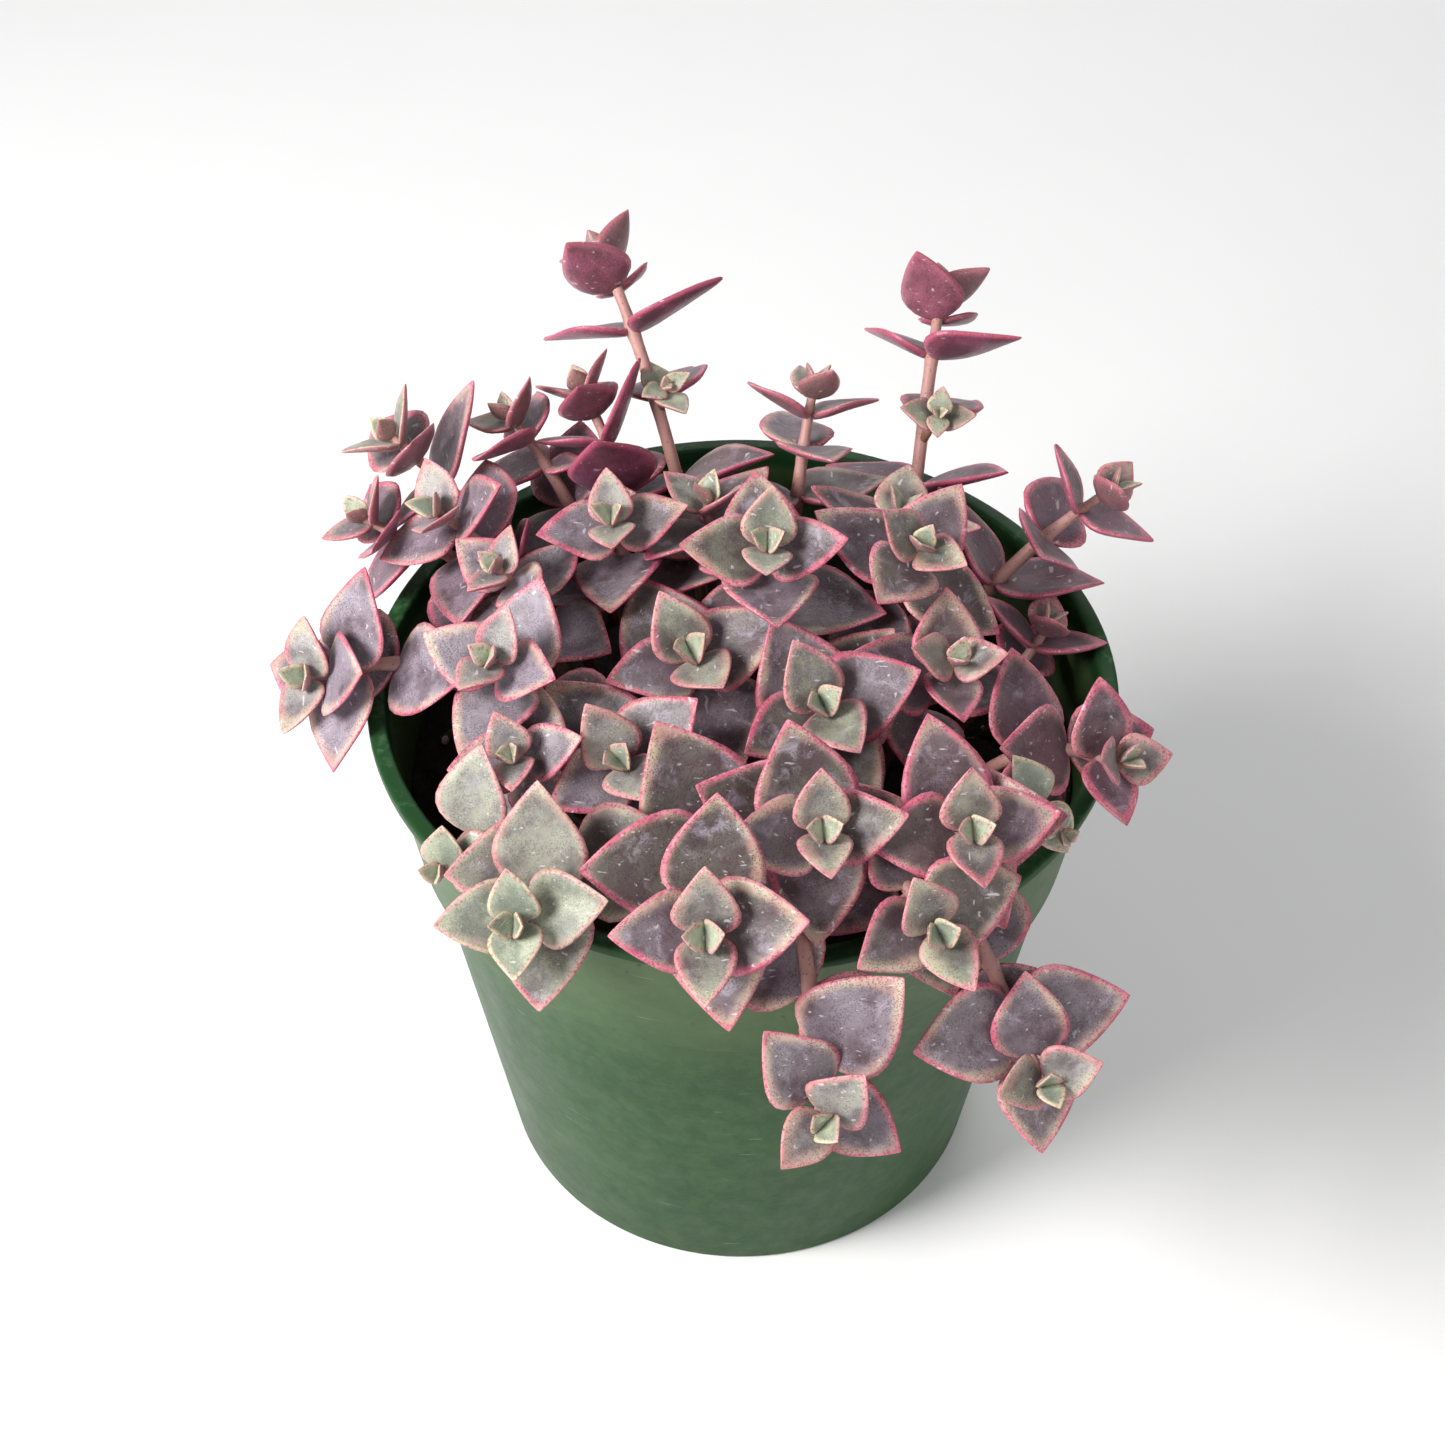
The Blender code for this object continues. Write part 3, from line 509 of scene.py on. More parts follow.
SHOOTS = [
    Shoot("shoot_tall_left", (-0.10, 0.50), (-0.41, 1.10), 30, (112, 8), 50, 15.5, 6, 13),
    Shoot("shoot_tall_right", (0.46, 0.50), (0.56, 1.08), 25, (80, 8), 65, 15, 6, 11),
    Shoot("shoot_back_middle", (0.12, 0.40), (0.19, 0.70), 22, (75, 40), 30, 14, 5, 9),
    Shoot("shoot_back_left", (-0.24, 0.44), (-0.46, 0.78), 18, (125, 28), 60, 15, 5, 9),
    Shoot("shoot_back_edge", (-0.36, 0.50), (-0.66, 0.70), 16, (140, 25), 20, 15, 5, 9),
    Shoot("shoot_left_top", (-0.46, 0.40), (-0.98, 0.61), 16, (150, 28), 55, 16, 5, 10),
    Shoot("shoot_left_upper", (-0.52, 0.24), (-1.05, 0.42), 9, (175, 32), 15, 15, 5, 9, 7),
    Shoot("shoot_left_inner", (-0.38, 0.26), (-0.82, 0.29), 16, (-165, 50), 75, 17, 5, 9),
    Shoot("shoot_left_middle", (-0.44, 0.08), (-0.64, 0.06), 16, (-160, 60), 30, 13, 5, 7),
    Shoot("shoot_left_outer", (-0.50, -0.08), (-1.15, -0.10), 3, (-110, 42), 5, 16, 5, 7.5, 5),
    Shoot("shoot_left_front", (-0.34, -0.10), (-0.63, -0.30), 17, (-118, 58), 0, 15, 5, 8),
    Shoot("shoot_left_lower", (-0.38, -0.30), (-0.56, -0.52), 11, (-120, 55), 40, 12.5, 5, 7),
    Shoot("shoot_front_far_left", (-0.30, -0.40), (-0.74, -0.74), 1, (-140, 45), 25, 12.5, 4, 7, 4),
    Shoot("shoot_front_left", (-0.18, -0.42), (-0.53, -0.98), 6, (-105, 46), 15, 15.5, 5, 7.5, 5),
    Shoot("shoot_front_middle", (-0.06, -0.26), (-0.08, -1.09), 11, (-93, 48), 5, 17, 7, 8.5, 8),
    Shoot("shoot_front_trailing", (0.08, -0.42), (0.20, -1.32), -10,
          (-86, 30), 135, 16.5, 5, 9.5, 4),
    Shoot("shoot_right_trailing", (0.28, -0.46), (0.73, -1.20), -10, (-72, 30), 90, 16, 5, 9.5, 4),
    Shoot("shoot_front_right", (0.20, -0.56), (0.46, -1.01), 7, (-78, 46), 20, 16, 5, 8, 7),
    Shoot("shoot_centre_front", (0.10, -0.24), (0.19, -0.83), 15, (-80, 60), 0, 16, 5, 8),
    Shoot("shoot_right_front", (0.34, -0.30), (0.54, -0.81), 14, (-78, 52), 0, 16.5, 5, 8),
    Shoot("shoot_small_green", (0.50, -0.38), (0.80, -0.62), 2, (-60, 48), 20, 9.5, 4, 6, 5.5),
    Shoot("shoot_right_outer", (0.50, -0.24), (0.96, -0.43), 6, (-20, 48), 50, 14, 5, 8, 5),
    Shoot("shoot_right_middle", (0.48, -0.02), (0.82, 0.14), 3, (55, 58), 25, 13, 5, 8),
    Shoot("shoot_right_inner", (0.36, -0.08), (0.54, -0.21), 13, (-60, 60), 65, 14, 5, 8),
    Shoot("shoot_right_far", (0.46, 0.22), (1.01, 0.45), 14, (15, 25), 60, 15, 5, 12),
    Shoot("shoot_centre_back", (0.04, 0.10), (0.06, 0.01), 23, (-90, 58), 0, 16, 5, 8),
    Shoot("shoot_centre_right", (0.28, 0.12), (0.45, 0.01), 23, (-75, 58), 45, 16, 5, 8),
    Shoot("shoot_centre_left", (-0.22, 0.16), (-0.35, 0.24), 17, (-100, 62), 15, 15, 5, 8),
    Shoot("shoot_middle", (-0.12, -0.08), (-0.13, -0.18), 12, (-100, 68), 35, 18, 5, 8),
    Shoot("shoot_middle_right", (0.18, -0.10), (0.20, -0.36), 12, (-80, 65), 20, 18, 5, 8),
    Shoot("shoot_inner_left", (-0.20, -0.24), (-0.30, -0.50), 9, (-105, 62), 50, 17, 4, 8),
    Shoot("shoot_inner_right", (0.34, 0.32), (0.42, 0.34), 14, (60, 70), 20, 17, 4, 8),
    Shoot("shoot_inner_back", (-0.06, 0.28), (-0.10, 0.36), 15, (110, 68), 30, 17, 4, 8),
    Shoot("side_shoot_left", 26, (-0.22, 0.74), 20,
          (-70, 45), 100, 8, 3, 4, None, "shoot_tall_left"),
    Shoot("side_shoot_right", 24, (0.54, 0.70), 17,
          (-95, 45), 0, 8, 3, 4, None, "shoot_tall_right"),
]
PAIR_SIZES = (0.27, 0.54, 0.76, 0.94, 1.05)
PAIR_LIFTS = (66, 40, 26, 15, 9, 6)
PAIR_STEPS = (0.04, 0.16, 0.30, 0.52, 0.80, 1.0)
LIGHT = Vector((0.0, -0.50, 0.87))
LIGHT_PULL = 2.6
LEAF_MOVES = (
    (0, 0), (9, 0), (-9, 0), (0, 11), (0, -11), (18, 0), (-18, 0), (9, 14), (9, -14), (-9, 14),
    (-9, -14), (28, 0), (-28, 0), (18, 24), (18, -24), (38, 0),
)
LEAF_SHRINKS = (1.0, 0.88, 0.76, 0.64, 0.52)
LEAF_CURL = -0.06
WIDEST_ALONG, WIDEST_HALF = 0.22, 0.4
LEAF_CHANNEL = 0.16
STEM_RADIUS = 1.0 * MM
STEM_POINTS = 6
ROOT_DEPTH = 8.0 * MM
CREST_SHARE = 0.95
MATCH = 0.02 * MM


def at_depth(values, index):
    return values[min(index, len(values) - 1)]


def direction(around, above):
    a, e = math.radians(around), math.radians(above)
    return Vector((math.cos(a) * math.cos(e), math.sin(a) * math.cos(e), math.sin(e)))


def point_down(path, distance):
    """The place that far down from the path's tip, and the stem's way towards the tip there."""
    left = distance
    for upper, lower in zip(reversed(path), reversed(path[:-1])):
        span = (upper - lower).length
        if left <= span:
            return upper.lerp(lower, left / span), (upper - lower).normalized()
        left -= span
    return path[0].copy(), (path[1] - path[0]).normalized()


def hermite(start, start_slope, end, end_slope, t):
    a, b = 2 * t**3 - 3 * t**2 + 1, t**3 - 2 * t**2 + t
    return a * start + b * start_slope + (1 - a) * end + (t**3 - t**2) * end_slope


def stem_path(shoot, parent_path, steps):
    """Points along the stem from its root to its tip."""
    right, back = shoot.tip
    tip = Vector((right * RIM_RADIUS, back * RIM_RADIUS, POT_HEIGHT + shoot.rise * MM))
    facing = direction(*shoot.faces)
    if parent_path:
        root = point_down(parent_path, shoot.root * MM)[0]
        start = (tip - root).normalized()
    else:
        right, back = shoot.root
        root = Vector((right * RIM_RADIUS, back * RIM_RADIUS, SOIL_TOP - ROOT_DEPTH))
        start = Vector((0.0, 0.0, 1.0))
    knots = [(root, start), (tip, facing)]
    if shoot.over is not None:
        outward = Vector((tip.x, tip.y, 0.0)).normalized()
        crest = outward * (RIM_RADIUS * CREST_SHARE)
        crest += Vector((0.0, 0.0, POT_HEIGHT + shoot.over * MM))
        knots.insert(1, (crest, (outward + Vector((0.0, 0.0, -0.1))).normalized()))
    points = [root]
    for (a, slope_a), (b, slope_b) in zip(knots, knots[1:]):
        reach = (b - a).length
        for i in range(steps):
            points.append(hermite(a, slope_a * reach, b, slope_b * reach * 0.8, (i + 1) / steps))
    return points


Place = namedtuple("Place", "base out up length")


def leaf_place(shoot, path, pair, side, move, shrink):
    """Where one leaf of one pair sits, with the move and shrink that its neighbours leave it."""
    distance = sum(at_depth(PAIR_STEPS, k) for k in range(pair + 1)) * shoot.gap * MM
    centre, stem_way = point_down(path, distance)
    bend = LIGHT_PULL * (1 - stem_way.z) / 2 * (1 - stem_way.y)
    axis = (stem_way + LIGHT * bend).normalized()
    facing = direction(*shoot.faces)
    level = facing.cross(Vector((0.0, 0.0, 1.0))).normalized()
    level = facing.rotation_difference(axis) @ level
    seed = 7 * pair + 3 * side + shoot.roll
    turn = shoot.roll + 90 * pair + 180 * side + move[1] + 7 * wander(seed, 0.618)
    lift = at_depth(PAIR_LIFTS, pair) + move[0] + 6 * wander(seed, 0.414)
    outward = Matrix.Rotation(math.radians(turn), 3, axis) @ level
    outward = (outward - axis * outward.dot(axis)).normalized()
    tilt = math.radians(lift)
    out = outward * math.cos(tilt) + axis * math.sin(tilt)
    up = axis * math.cos(tilt) - outward * math.sin(tilt)
    length = at_depth(PAIR_SIZES, pair) * shoot.leaf * MM * shrink
    length *= 1 + 0.07 * wander(seed, 0.732)
    return Place(centre + out * STEM_RADIUS * 0.15, out, up, length)


def solid_marks(place):
    """The tip and the two widest points that a leaf at this place has in the solid plant."""
    tip = place.base + place.out * place.length + place.up * LEAF_CURL * place.length
    along = place.out * WIDEST_ALONG + place.up * LEAF_CURL * WIDEST_ALONG**2
    channel = place.up * LEAF_CHANNEL * WIDEST_HALF
    across = place.up.cross(place.out) * WIDEST_HALF
    middle = along + channel
    return [tip] + [place.base + (middle + way * across) * place.length for way in (1, -1)]


def grown_place(shoot, path, pair, side, corners):
    """The place that this leaf took in the solid plant, or None where it found no room."""
    for mark in range(3):
        for shrink in LEAF_SHRINKS:
            for move in LEAF_MOVES:
                place = leaf_place(shoot, path, pair, side, move, shrink)
                if corners.find(solid_marks(place)[mark])[2] < MATCH:
                    return place
    return None


# ---- Leaves -------------------------------------------------------------------------------------
# Thick, water-filled leaves, broad at the stem and pointed at the tip, a little cupped above and
# rounded below. One leaf is shaped, and each leaf of the plant is a copy set to its own size and
# bend.

LEAF_THICKNESS = 0.7 * MM
LEAF_THICKNESS_SHARE = 0.065
LEAF_WIDTH = 0.43
LEAF_CUP = 0.16
YOUTH = (1.0, 0.55, 0.22, 0.05, 0.0)
# Shoots in shade stay paler and greener and those in full light redden. The shoots on the left, and
# a few others, are painted pale lilac: partly waxy bloom and partly painted light from the key
# light on that side.
FRESH = {
    "shoot_front_left": 0.55, "shoot_front_far_left": 0.6, "shoot_small_green": 0.95,
    "side_shoot_left": 0.7, "side_shoot_right": 0.5, "shoot_left_top": 0.25,
    "shoot_centre_back": 0.15, "shoot_back_middle": 0.2,
}
BLUSH = {
    "shoot_tall_left": 0.4, "shoot_tall_right": 0.9, "shoot_right_far": 0.8,
    "shoot_right_middle": 1.0, "shoot_right_outer": 0.6, "shoot_right_inner": 0.35,
    "shoot_left_upper": 0.6, "shoot_left_top": 0.35, "shoot_back_edge": 0.6,
    "shoot_back_left": 0.6, "shoot_left_inner": 0.4, "shoot_right_front": 0.3,
}
FROST_AND_LEFT_LIGHT = {
    "shoot_left_outer": 0.9, "shoot_left_inner": 0.9, "shoot_left_front": 0.8,
    "shoot_left_lower": 0.7, "shoot_left_middle": 0.7, "shoot_left_upper": 0.6,
    "shoot_left_top": 0.5, "shoot_front_far_left": 0.5, "shoot_front_trailing": 0.5,
    "shoot_inner_left": 0.5, "shoot_centre_left": 0.4, "shoot_right_trailing": 0.3,
}

let_go()
bpy.ops.mesh.primitive_uv_sphere_add(segments=12, ring_count=14, radius=1.0, location=(0, 0, 0))
leaf_blank = bpy.context.object
leaf_blank.name = leaf_blank.data.name = "leaf_blank"
bpy.ops.object.mode_set(mode="EDIT")
bpy.ops.mesh.select_all(action="SELECT")
bpy.ops.transform.rotate(value=math.radians(90), orient_axis="Y", center_override=(0, 0, 0))
bpy.ops.object.mode_set(mode="OBJECT")
bpy.ops.object.shade_smooth()
blank = np.array([tuple(v.co) for v in leaf_blank.data.vertices])
ring = np.sqrt(np.clip(1 - blank[:, 0] ** 2, 1e-9, 1))
share = np.clip((1 + blank[:, 0]) / 2, 0, 1)
across = np.where(ring > 1e-3, blank[:, 1] / ring, 0.0)
through = np.where(ring > 1e-3, blank[:, 2] / ring, 0.0)


def leaf_piece(shoot, place, number, pair):
    """A copy of the leaf blank, bent to its place, with what its finish reads at each point."""
    length = place.length
    swing, wave = wander(number, 0.618), wander(number, 0.732)
    slim = 1 + 0.06 * wander(number, 0.414)
    outline = np.sin(math.pi * share**0.62) ** 0.86
    ripple = 1 + 0.02 * np.sin(9 * share + 6 * wave) * np.abs(across)
    half = LEAF_WIDTH * length * slim * outline * ripple
    thick = LEAF_THICKNESS + LEAF_THICKNESS_SHARE * length
    body = np.sin(math.pi * np.clip(share, 0, 1) ** 0.5) ** 0.45
    flesh = np.where(through > 0, 0.36 * np.abs(through) ** 0.7, -0.64 * np.abs(through) ** 0.85)
    high = thick * body * flesh
    groove = np.where(through > 0, np.sin(math.pi * share) * 0.5, 0.0)
    high = high + LEAF_CUP * half * across**2
    high = high - 0.05 * length * (1 - np.abs(across)) ** 3 * groove
    high = high + 0.012 * length * np.sin(7 * share + 5 * swing) * across
    bend = LEAF_CURL * length * share**2 + 0.015 * length * wave * np.sin(math.pi * share)
    side = half * across + 0.03 * length * swing * np.sin(math.pi * share) * share
    out, up = np.array(place.out), np.array(place.up)
    wide = np.cross(up, out)
    points = (
        np.array(place.base)
        + np.outer(length * share, out)
        + np.outer(side, wide)
        + np.outer(high + bend, up)
    )
    mesh = leaf_blank.data.copy()
    mesh.vertices.foreach_set("co", points.astype(np.float32).ravel())
    edge = half * (1 - np.abs(across)) / MM
    edge = np.minimum(edge, 0.75 * length * (1 - share) / MM)
    values = {
        "edge": edge,
        "along": share,
        "over": np.clip(0.5 + 3 * through, 0, 1),
        "youth": np.full(len(share), min(1.0, at_depth(YOUTH, pair) + FRESH.get(shoot.name, 0.0))),
        "blush": np.full(len(share), BLUSH.get(shoot.name, 0.0)),
        "frost_and_light": np.full(len(share), FROST_AND_LEFT_LIGHT.get(shoot.name, 0.0)),
        "tone": np.full(len(share), 0.5 + 0.5 * wander(number, 0.569)),
    }
    for title, column in values.items():
        layer = mesh.attributes.new(title, "FLOAT", "POINT")
        layer.data.foreach_set("value", column.astype(np.float32))
    mesh.materials.clear()
    mesh.materials.append(skin.material)
    leaf = bpy.data.objects.new(f"leaf_{number}", mesh)
    bpy.context.scene.collection.objects.link(leaf)
    return leaf


# The skin is a waxy grey mauve over green, with a peach band and a pink, dotted margin, and
# burgundy beneath.
skin = Finish("leaf_skin", Roughness=0.5, Sheen_Weight=0.12, Sheen_Roughness=0.45)
skin.shader.inputs["Subsurface Weight"].default_value = 0.06
skin.shader.inputs["Sheen Tint"].default_value = srgb(214, 200, 222)
skin.shader.inputs["Subsurface Radius"].default_value = (0.8, 0.3, 0.25)
skin.shader.inputs["Subsurface Scale"].default_value = 1.2 * MM
edge, along_leaf, over = skin.own("edge"), skin.own("along"), skin.own("over")
youth, tone, blush = skin.own("youth"), skin.own("tone"), skin.own("blush")
cloud = skin.grain(5 * MM, 4, 0.6)
broad = skin.grain(9 * MM, 2, 0.5)
fine = skin.grain(1.1 * MM, 4, 0.65)

heart = skin.mix(skin.step(cloud, 0.34, 0.66), srgb(88, 74, 79), srgb(122, 108, 117))
olive = skin.step(skin.sum("MULTIPLY_ADD", tone, 0.4, cloud), 0.58, 0.92)
heart = skin.mix(skin.sum("MULTIPLY", olive, 0.8), heart, srgb(90, 88, 74))
brown = skin.step(skin.sum("MULTIPLY_ADD", tone, -0.3, cloud), 0.36, 0.12)
heart = skin.mix(skin.sum("MULTIPLY", brown, 0.6), heart, srgb(70, 50, 54))
# Pale lilac on the shoots listed above: partly waxy bloom, partly painted light on the side of the
# plant that faces the key light.
frosted_and_lit = skin.sum("MULTIPLY", skin.own("frost_and_light"), skin.step(cloud, 0.26, 0.58))
heart = skin.mix(skin.sum("MULTIPLY", frosted_and_lit, 0.6), heart, srgb(166, 155, 170))
# Lighter lavender patches towards the tip: partly waxy bloom and partly a painted reflection of the
# pale sky.
bloom_and_reflection = skin.step(skin.grain(3.4 * MM, 5, 0.66, None, 0.6), 0.50, 0.70)
bloom_and_reflection = skin.sum("MULTIPLY", bloom_and_reflection, skin.step(along_leaf, 0.15, 0.7))
heart = skin.mix(skin.sum("MULTIPLY", bloom_and_reflection, 0.6), heart, srgb(178, 168, 182))

flushed = skin.sum("MULTIPLY", blush, skin.step(cloud, 0.30, 0.62))
heart = skin.mix(skin.sum("MULTIPLY", flushed, 0.75), heart, srgb(122, 70, 96))

ragged = skin.sum("MULTIPLY_ADD", fine, 0.9, -0.45)
patchy = skin.sum("MULTIPLY_ADD", broad, 4.0, -2.0)
reach = skin.sum("ADD", skin.sum("ADD", edge, ragged), patchy)
band = skin.step(reach, 1.9, 0.1)
peach = skin.mix(skin.step(cloud, 0.4, 0.62), srgb(206, 160, 146), srgb(206, 188, 162))
peach = skin.mix(skin.sum("MULTIPLY", blush, 0.55), peach, srgb(188, 108, 128))
top = skin.mix(skin.sum("MULTIPLY", band, 0.72), heart, peach)
flush = skin.sum("MULTIPLY_ADD", broad, -2.4, 1.2)
pinking = skin.sum("ADD", skin.sum("MULTIPLY_ADD", ragged, 0.3, edge), flush)
pinking = skin.sum("MULTIPLY_ADD", blush, -0.5, pinking)
rim = skin.step(pinking, 1.05, 0.1)
pink = skin.mix(skin.step(cloud, 0.4, 0.64), srgb(196, 90, 118), srgb(216, 134, 148))
top = skin.mix(skin.sum("MULTIPLY", rim, 0.92), top, pink)

green = skin.mix(skin.step(cloud, 0.38, 0.62), srgb(128, 138, 122), srgb(172, 178, 154))
creamy = skin.mix(skin.step(cloud, 0.4, 0.6), srgb(216, 206, 168), srgb(208, 158, 152))
green = skin.mix(skin.sum("MULTIPLY", skin.step(edge, 0.8, 0.15), 0.8), green, creamy)
top = skin.mix(skin.step(skin.sum("MULTIPLY_ADD", cloud, 0.5, youth), 0.5, 1.3), top, green)

stipple = skin.step(skin.cells(0.27 * MM), 0.50, 0.24)
stipple = skin.sum("MULTIPLY", stipple, skin.step(skin.grain(2.2 * MM, 3), 0.28, 0.56))
dark = skin.sum("MULTIPLY", stipple, skin.sum("MULTIPLY_ADD", youth, -0.3, 0.62))
top = skin.mix(dark, top, srgb(58, 42, 46))
dots = skin.step(skin.cells(0.62 * MM), 0.38, 0.24)
dots = skin.sum("MULTIPLY", dots, skin.step(pinking, 1.0, 0.5))
top = skin.mix(skin.sum("MULTIPLY", dots, 0.5), top, srgb(136, 40, 74))

below = skin.mix(skin.step(cloud, 0.36, 0.64), srgb(108, 54, 74), srgb(152, 80, 108))
below = skin.mix(skin.sum("MULTIPLY", skin.step(edge, 1.1, 0.3), 0.7), below, srgb(188, 84, 112))
below = skin.mix(skin.sum("MULTIPLY", youth, 0.6), below, srgb(150, 132, 116))
speckle = skin.sum("MULTIPLY", skin.step(skin.cells(0.36 * MM), 0.40, 0.20), 0.5)
below = skin.mix(speckle, below, srgb(78, 34, 50))
colour = skin.mix(skin.step(over, 0.40, 0.60), below, top)

marks = skin.stretched((1.0, 0.28, 1.7), (0.4, 0.3, 1.1))
marks = skin.step(skin.grain(0.9 * MM, 2, 0.4, marks), 0.69, 0.75)
fluff = skin.stretched((0.3, 1.3, 0.9), (1.2, 0.2, 0.5))
fluff = skin.step(skin.grain(0.8 * MM, 2, 0.4, fluff), 0.70, 0.76)
white = skin.sum("MULTIPLY", skin.sum("MAXIMUM", marks, fluff), 0.5)
colour = skin.mix(white, colour, srgb(226, 220, 224))
skin.feed("Base Color", colour)
waxy = skin.sum("MULTIPLY_ADD", over, 0.08, 0.30)
skin.feed("Roughness", skin.sum("MULTIPLY_ADD", fine, 0.18, waxy))
pits = skin.bump(skin.cells(0.42 * MM), 0.05 * MM, 0.5)
skin.feed("Normal", skin.bump(fine, 0.18 * MM, 0.5, pits))

# ---- Stems and the finished shoots --------------------------------------------------------------
# Slender round stems, pink where they are young and browner at the soil, swollen a little at each
# joint where a pair of leaves clasps them. Each shoot is its stem with its leaves grown on.

bark_skin = Finish("stem_skin", Roughness=0.5, Subsurface_Weight=0.05)
bark_skin.shader.inputs["Subsurface Scale"].default_value = 1.0 * MM
age = bark_skin.own("age")
streaks = bark_skin.grain(2.4 * MM, 4, 0.6)
young = bark_skin.mix(streaks, srgb(158, 104, 108), srgb(196, 156, 142))
old = bark_skin.mix(streaks, srgb(92, 62, 46), srgb(146, 108, 84))
aged = bark_skin.step(bark_skin.sum("MULTIPLY_ADD", streaks, 0.4, age), 0.5, 1.0)
colour = bark_skin.mix(aged, young, old)
flecks = bark_skin.step(bark_skin.cells(0.7 * MM), 0.26, 0.14)
colour = bark_skin.mix(bark_skin.sum("MULTIPLY", flecks, 0.55), colour, srgb(120, 52, 66))
bark_skin.feed("Base Color", colour)
bark_skin.feed("Roughness", bark_skin.sum("MULTIPLY_ADD", streaks, 0.2, 0.42))
bark_skin.feed("Normal", bark_skin.bump(bark_skin.grain(0.6 * MM, 4), 0.12 * MM, 0.6))


def stem_piece(shoot, path):
    """A round stem along a smooth path, a little thicker at each joint, closed at both ends."""
    line = bpy.data.curves.new(shoot.name + "_stem", "CURVE")
    line.dimensions = "3D"
    line.bevel_depth = STEM_RADIUS
    line.bevel_resolution = 3
    line.use_fill_caps = True
    spline = line.splines.new("POLY")
    spline.points.add(len(path) - 1)
    lengths = [0.0]
    for lower, upper in zip(path, path[1:]):
        lengths.append(lengths[-1] + (upper - lower).length)
    joints, down = [], 0.0
    for pair in range(shoot.pairs):
        down += at_depth(PAIR_STEPS, pair) * shoot.gap * MM
        joints.append(lengths[-1] - down)
    for point, centre, run in zip(spline.points, path, lengths):
        near = min(abs(run - joint) for joint in joints)
        swell = 0.22 * math.exp(-((near / (1.1 * MM)) ** 2))
        taper = 0.55 + 0.45 * min(1.0, (lengths[-1] - run) / (14 * MM))
        point.co = (*centre, 1.0)
        point.radius = taper * (0.95 + swell)
    stem = bpy.data.objects.new(shoot.name + "_stem", line)
    bpy.context.scene.collection.objects.link(stem)
    take(stem)
    bpy.ops.object.convert(target="MESH")
    mesh = stem.data
    layer = mesh.attributes.new("age", "FLOAT", "POINT")
    tree = kdtree.KDTree(len(path))
    for index, centre in enumerate(path):
        tree.insert(centre, index)
    tree.balance()
    for vertex, value in zip(mesh.vertices, layer.data):
        value.value = 1 - lengths[tree.find(vertex.co)[1]] / lengths[-1]
    mesh.materials.clear()
    mesh.materials.append(bark_skin.material)
    bpy.ops.object.shade_smooth()
    return stem


pieces = {}
paths = {}
number = 0
for shoot in SHOOTS:
    paths[shoot.name] = stem_path(shoot, paths.get(shoot.on), STEM_POINTS)
    smooth = stem_path(shoot, paths.get(shoot.on), 5 * STEM_POINTS)
    node = shoot.on or shoot.name
    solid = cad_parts[node].data
    corners = kdtree.KDTree(len(solid.vertices))
    for index, vertex in enumerate(solid.vertices):
        corners.insert(vertex.co, index)
    corners.balance()
    grown = pieces.setdefault(node, [])
    grown.append(stem_piece(shoot, smooth))
    for pair in range(shoot.pairs):
        for side in (0, 1):
            number += 1
            place = grown_place(shoot, paths[shoot.name], pair, side, corners)
            if place:
                grown.append(leaf_piece(shoot, place, number, pair))
bpy.data.objects.remove(leaf_blank)
for node, grown in pieces.items():
    piece = take(*grown)
    bpy.ops.object.join()
    piece.name = piece.data.name = node.replace("shoot", "leafy_shoot")
    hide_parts(node)
    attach(piece, "root")

# ---- Table, lights and camera -------------------------------------------------------------------
# The pot stands on a plain round pale tabletop. A broad soft light hangs over the front left,
# weaker ones fill in from the right and behind, and the room is pale.

TABLE_RADIUS = 0.9
TABLE_SIDES = 128
LIT = (0, 0, 0.09)
EYE = (0.0, -0.2302, 0.3123)
LOOKED_AT = (-0.0027, -0.0085, 0.090)
LENS = 57.4
SENSOR = 36.0

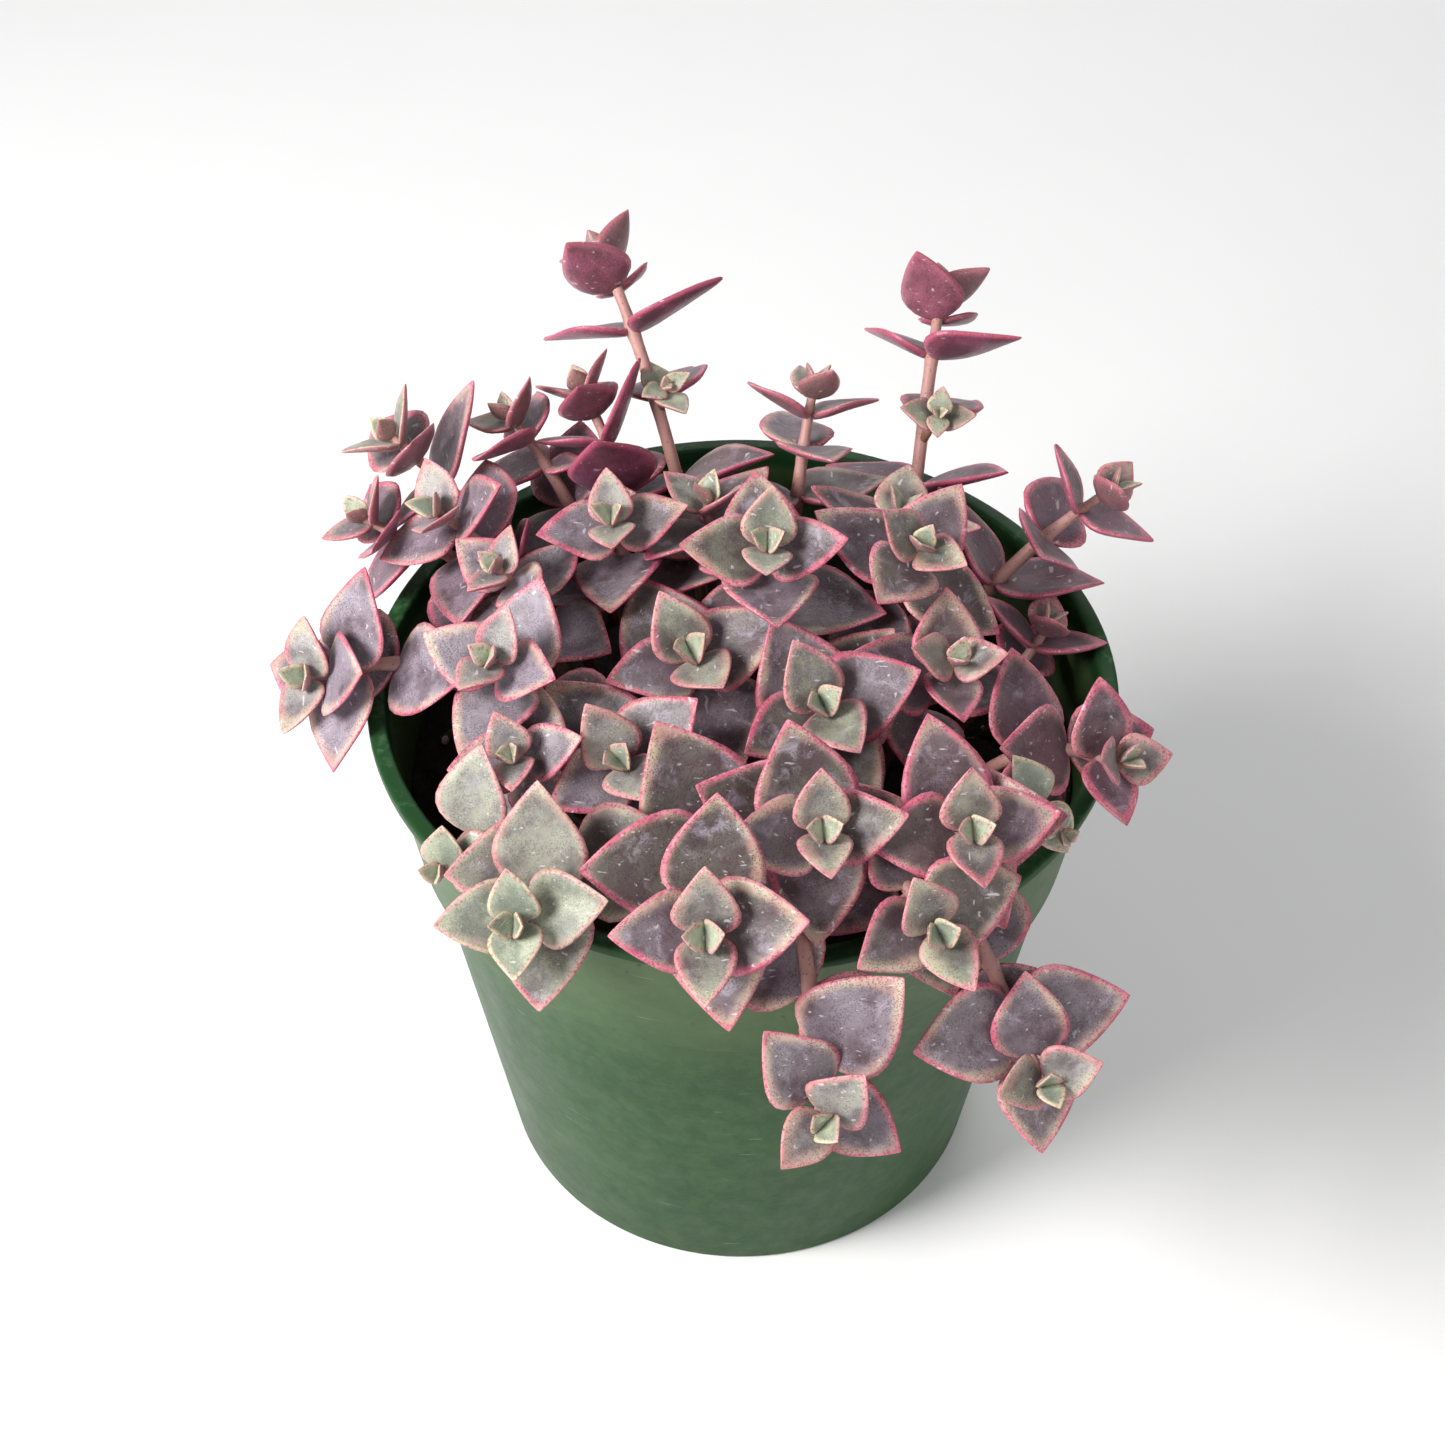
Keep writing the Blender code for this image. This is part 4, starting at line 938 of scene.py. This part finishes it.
let_go()
bpy.ops.mesh.primitive_circle_add(
    vertices=TABLE_SIDES, radius=TABLE_RADIUS, fill_type="NGON", location=(0, 0, 0)
)
table = bpy.context.object
table.name = table.data.name = "tabletop"
board = Finish("pale_tabletop", Roughness=0.7)
mottle = board.grain(60 * MM, 3)
board.feed("Base Color", board.mix(mottle, (0.86, 0.86, 0.86, 1.0), (0.90, 0.90, 0.90, 1.0)))
table.data.materials.append(board.material)


def soft_light(name, place, size, watts, tint=(1.0, 1.0, 1.0)):
    lamp = bpy.data.lights.new(name, "AREA")
    lamp.shape = "DISK"
    lamp.size = size
    lamp.energy = watts
    lamp.color = tint
    light = bpy.data.objects.new(name, lamp)
    bpy.context.scene.collection.objects.link(light)
    light.location = place
    light.rotation_euler = (Vector(LIT) - Vector(place)).to_track_quat("-Z", "Y").to_euler()


soft_light("key_light", (-0.42, -0.22, 0.46), 0.30, 5.8, (1.0, 0.98, 0.97))
soft_light("fill_light", (0.40, -0.62, 0.62), 0.5, 1.7, (1.0, 0.98, 0.96))
soft_light("back_light", (0.15, 0.8, 0.7), 0.6, 3.0)

world = bpy.data.worlds.new("pale_room")
world.use_nodes = True
sky = world.node_tree.nodes["Background"]
sky.inputs["Color"].default_value = (0.97, 0.98, 1.0, 1.0)
around = world.node_tree.nodes.new("ShaderNodeTexCoord")
climb = world.node_tree.nodes.new("ShaderNodeSeparateXYZ")
fall = world.node_tree.nodes.new("ShaderNodeMapRange")
for socket, value in {"From Min": 0.05, "From Max": 0.5, "To Min": 0.8, "To Max": 0.22}.items():
    fall.inputs[socket].default_value = value
world.node_tree.links.new(around.outputs["Generated"], climb.inputs["Vector"])
world.node_tree.links.new(climb.outputs["Z"], fall.inputs["Value"])
world.node_tree.links.new(fall.outputs["Result"], sky.inputs["Strength"])
bpy.context.scene.world = world
bpy.context.scene.view_settings.view_transform = "Standard"

lens = bpy.data.cameras.new("camera")
lens.lens = LENS
lens.sensor_width = SENSOR
camera = bpy.data.objects.new("camera", lens)
bpy.context.scene.collection.objects.link(camera)
camera.location = EYE
camera.rotation_euler = (Vector(LOOKED_AT) - Vector(EYE)).to_track_quat("-Z", "Y").to_euler()
bpy.context.scene.camera = camera
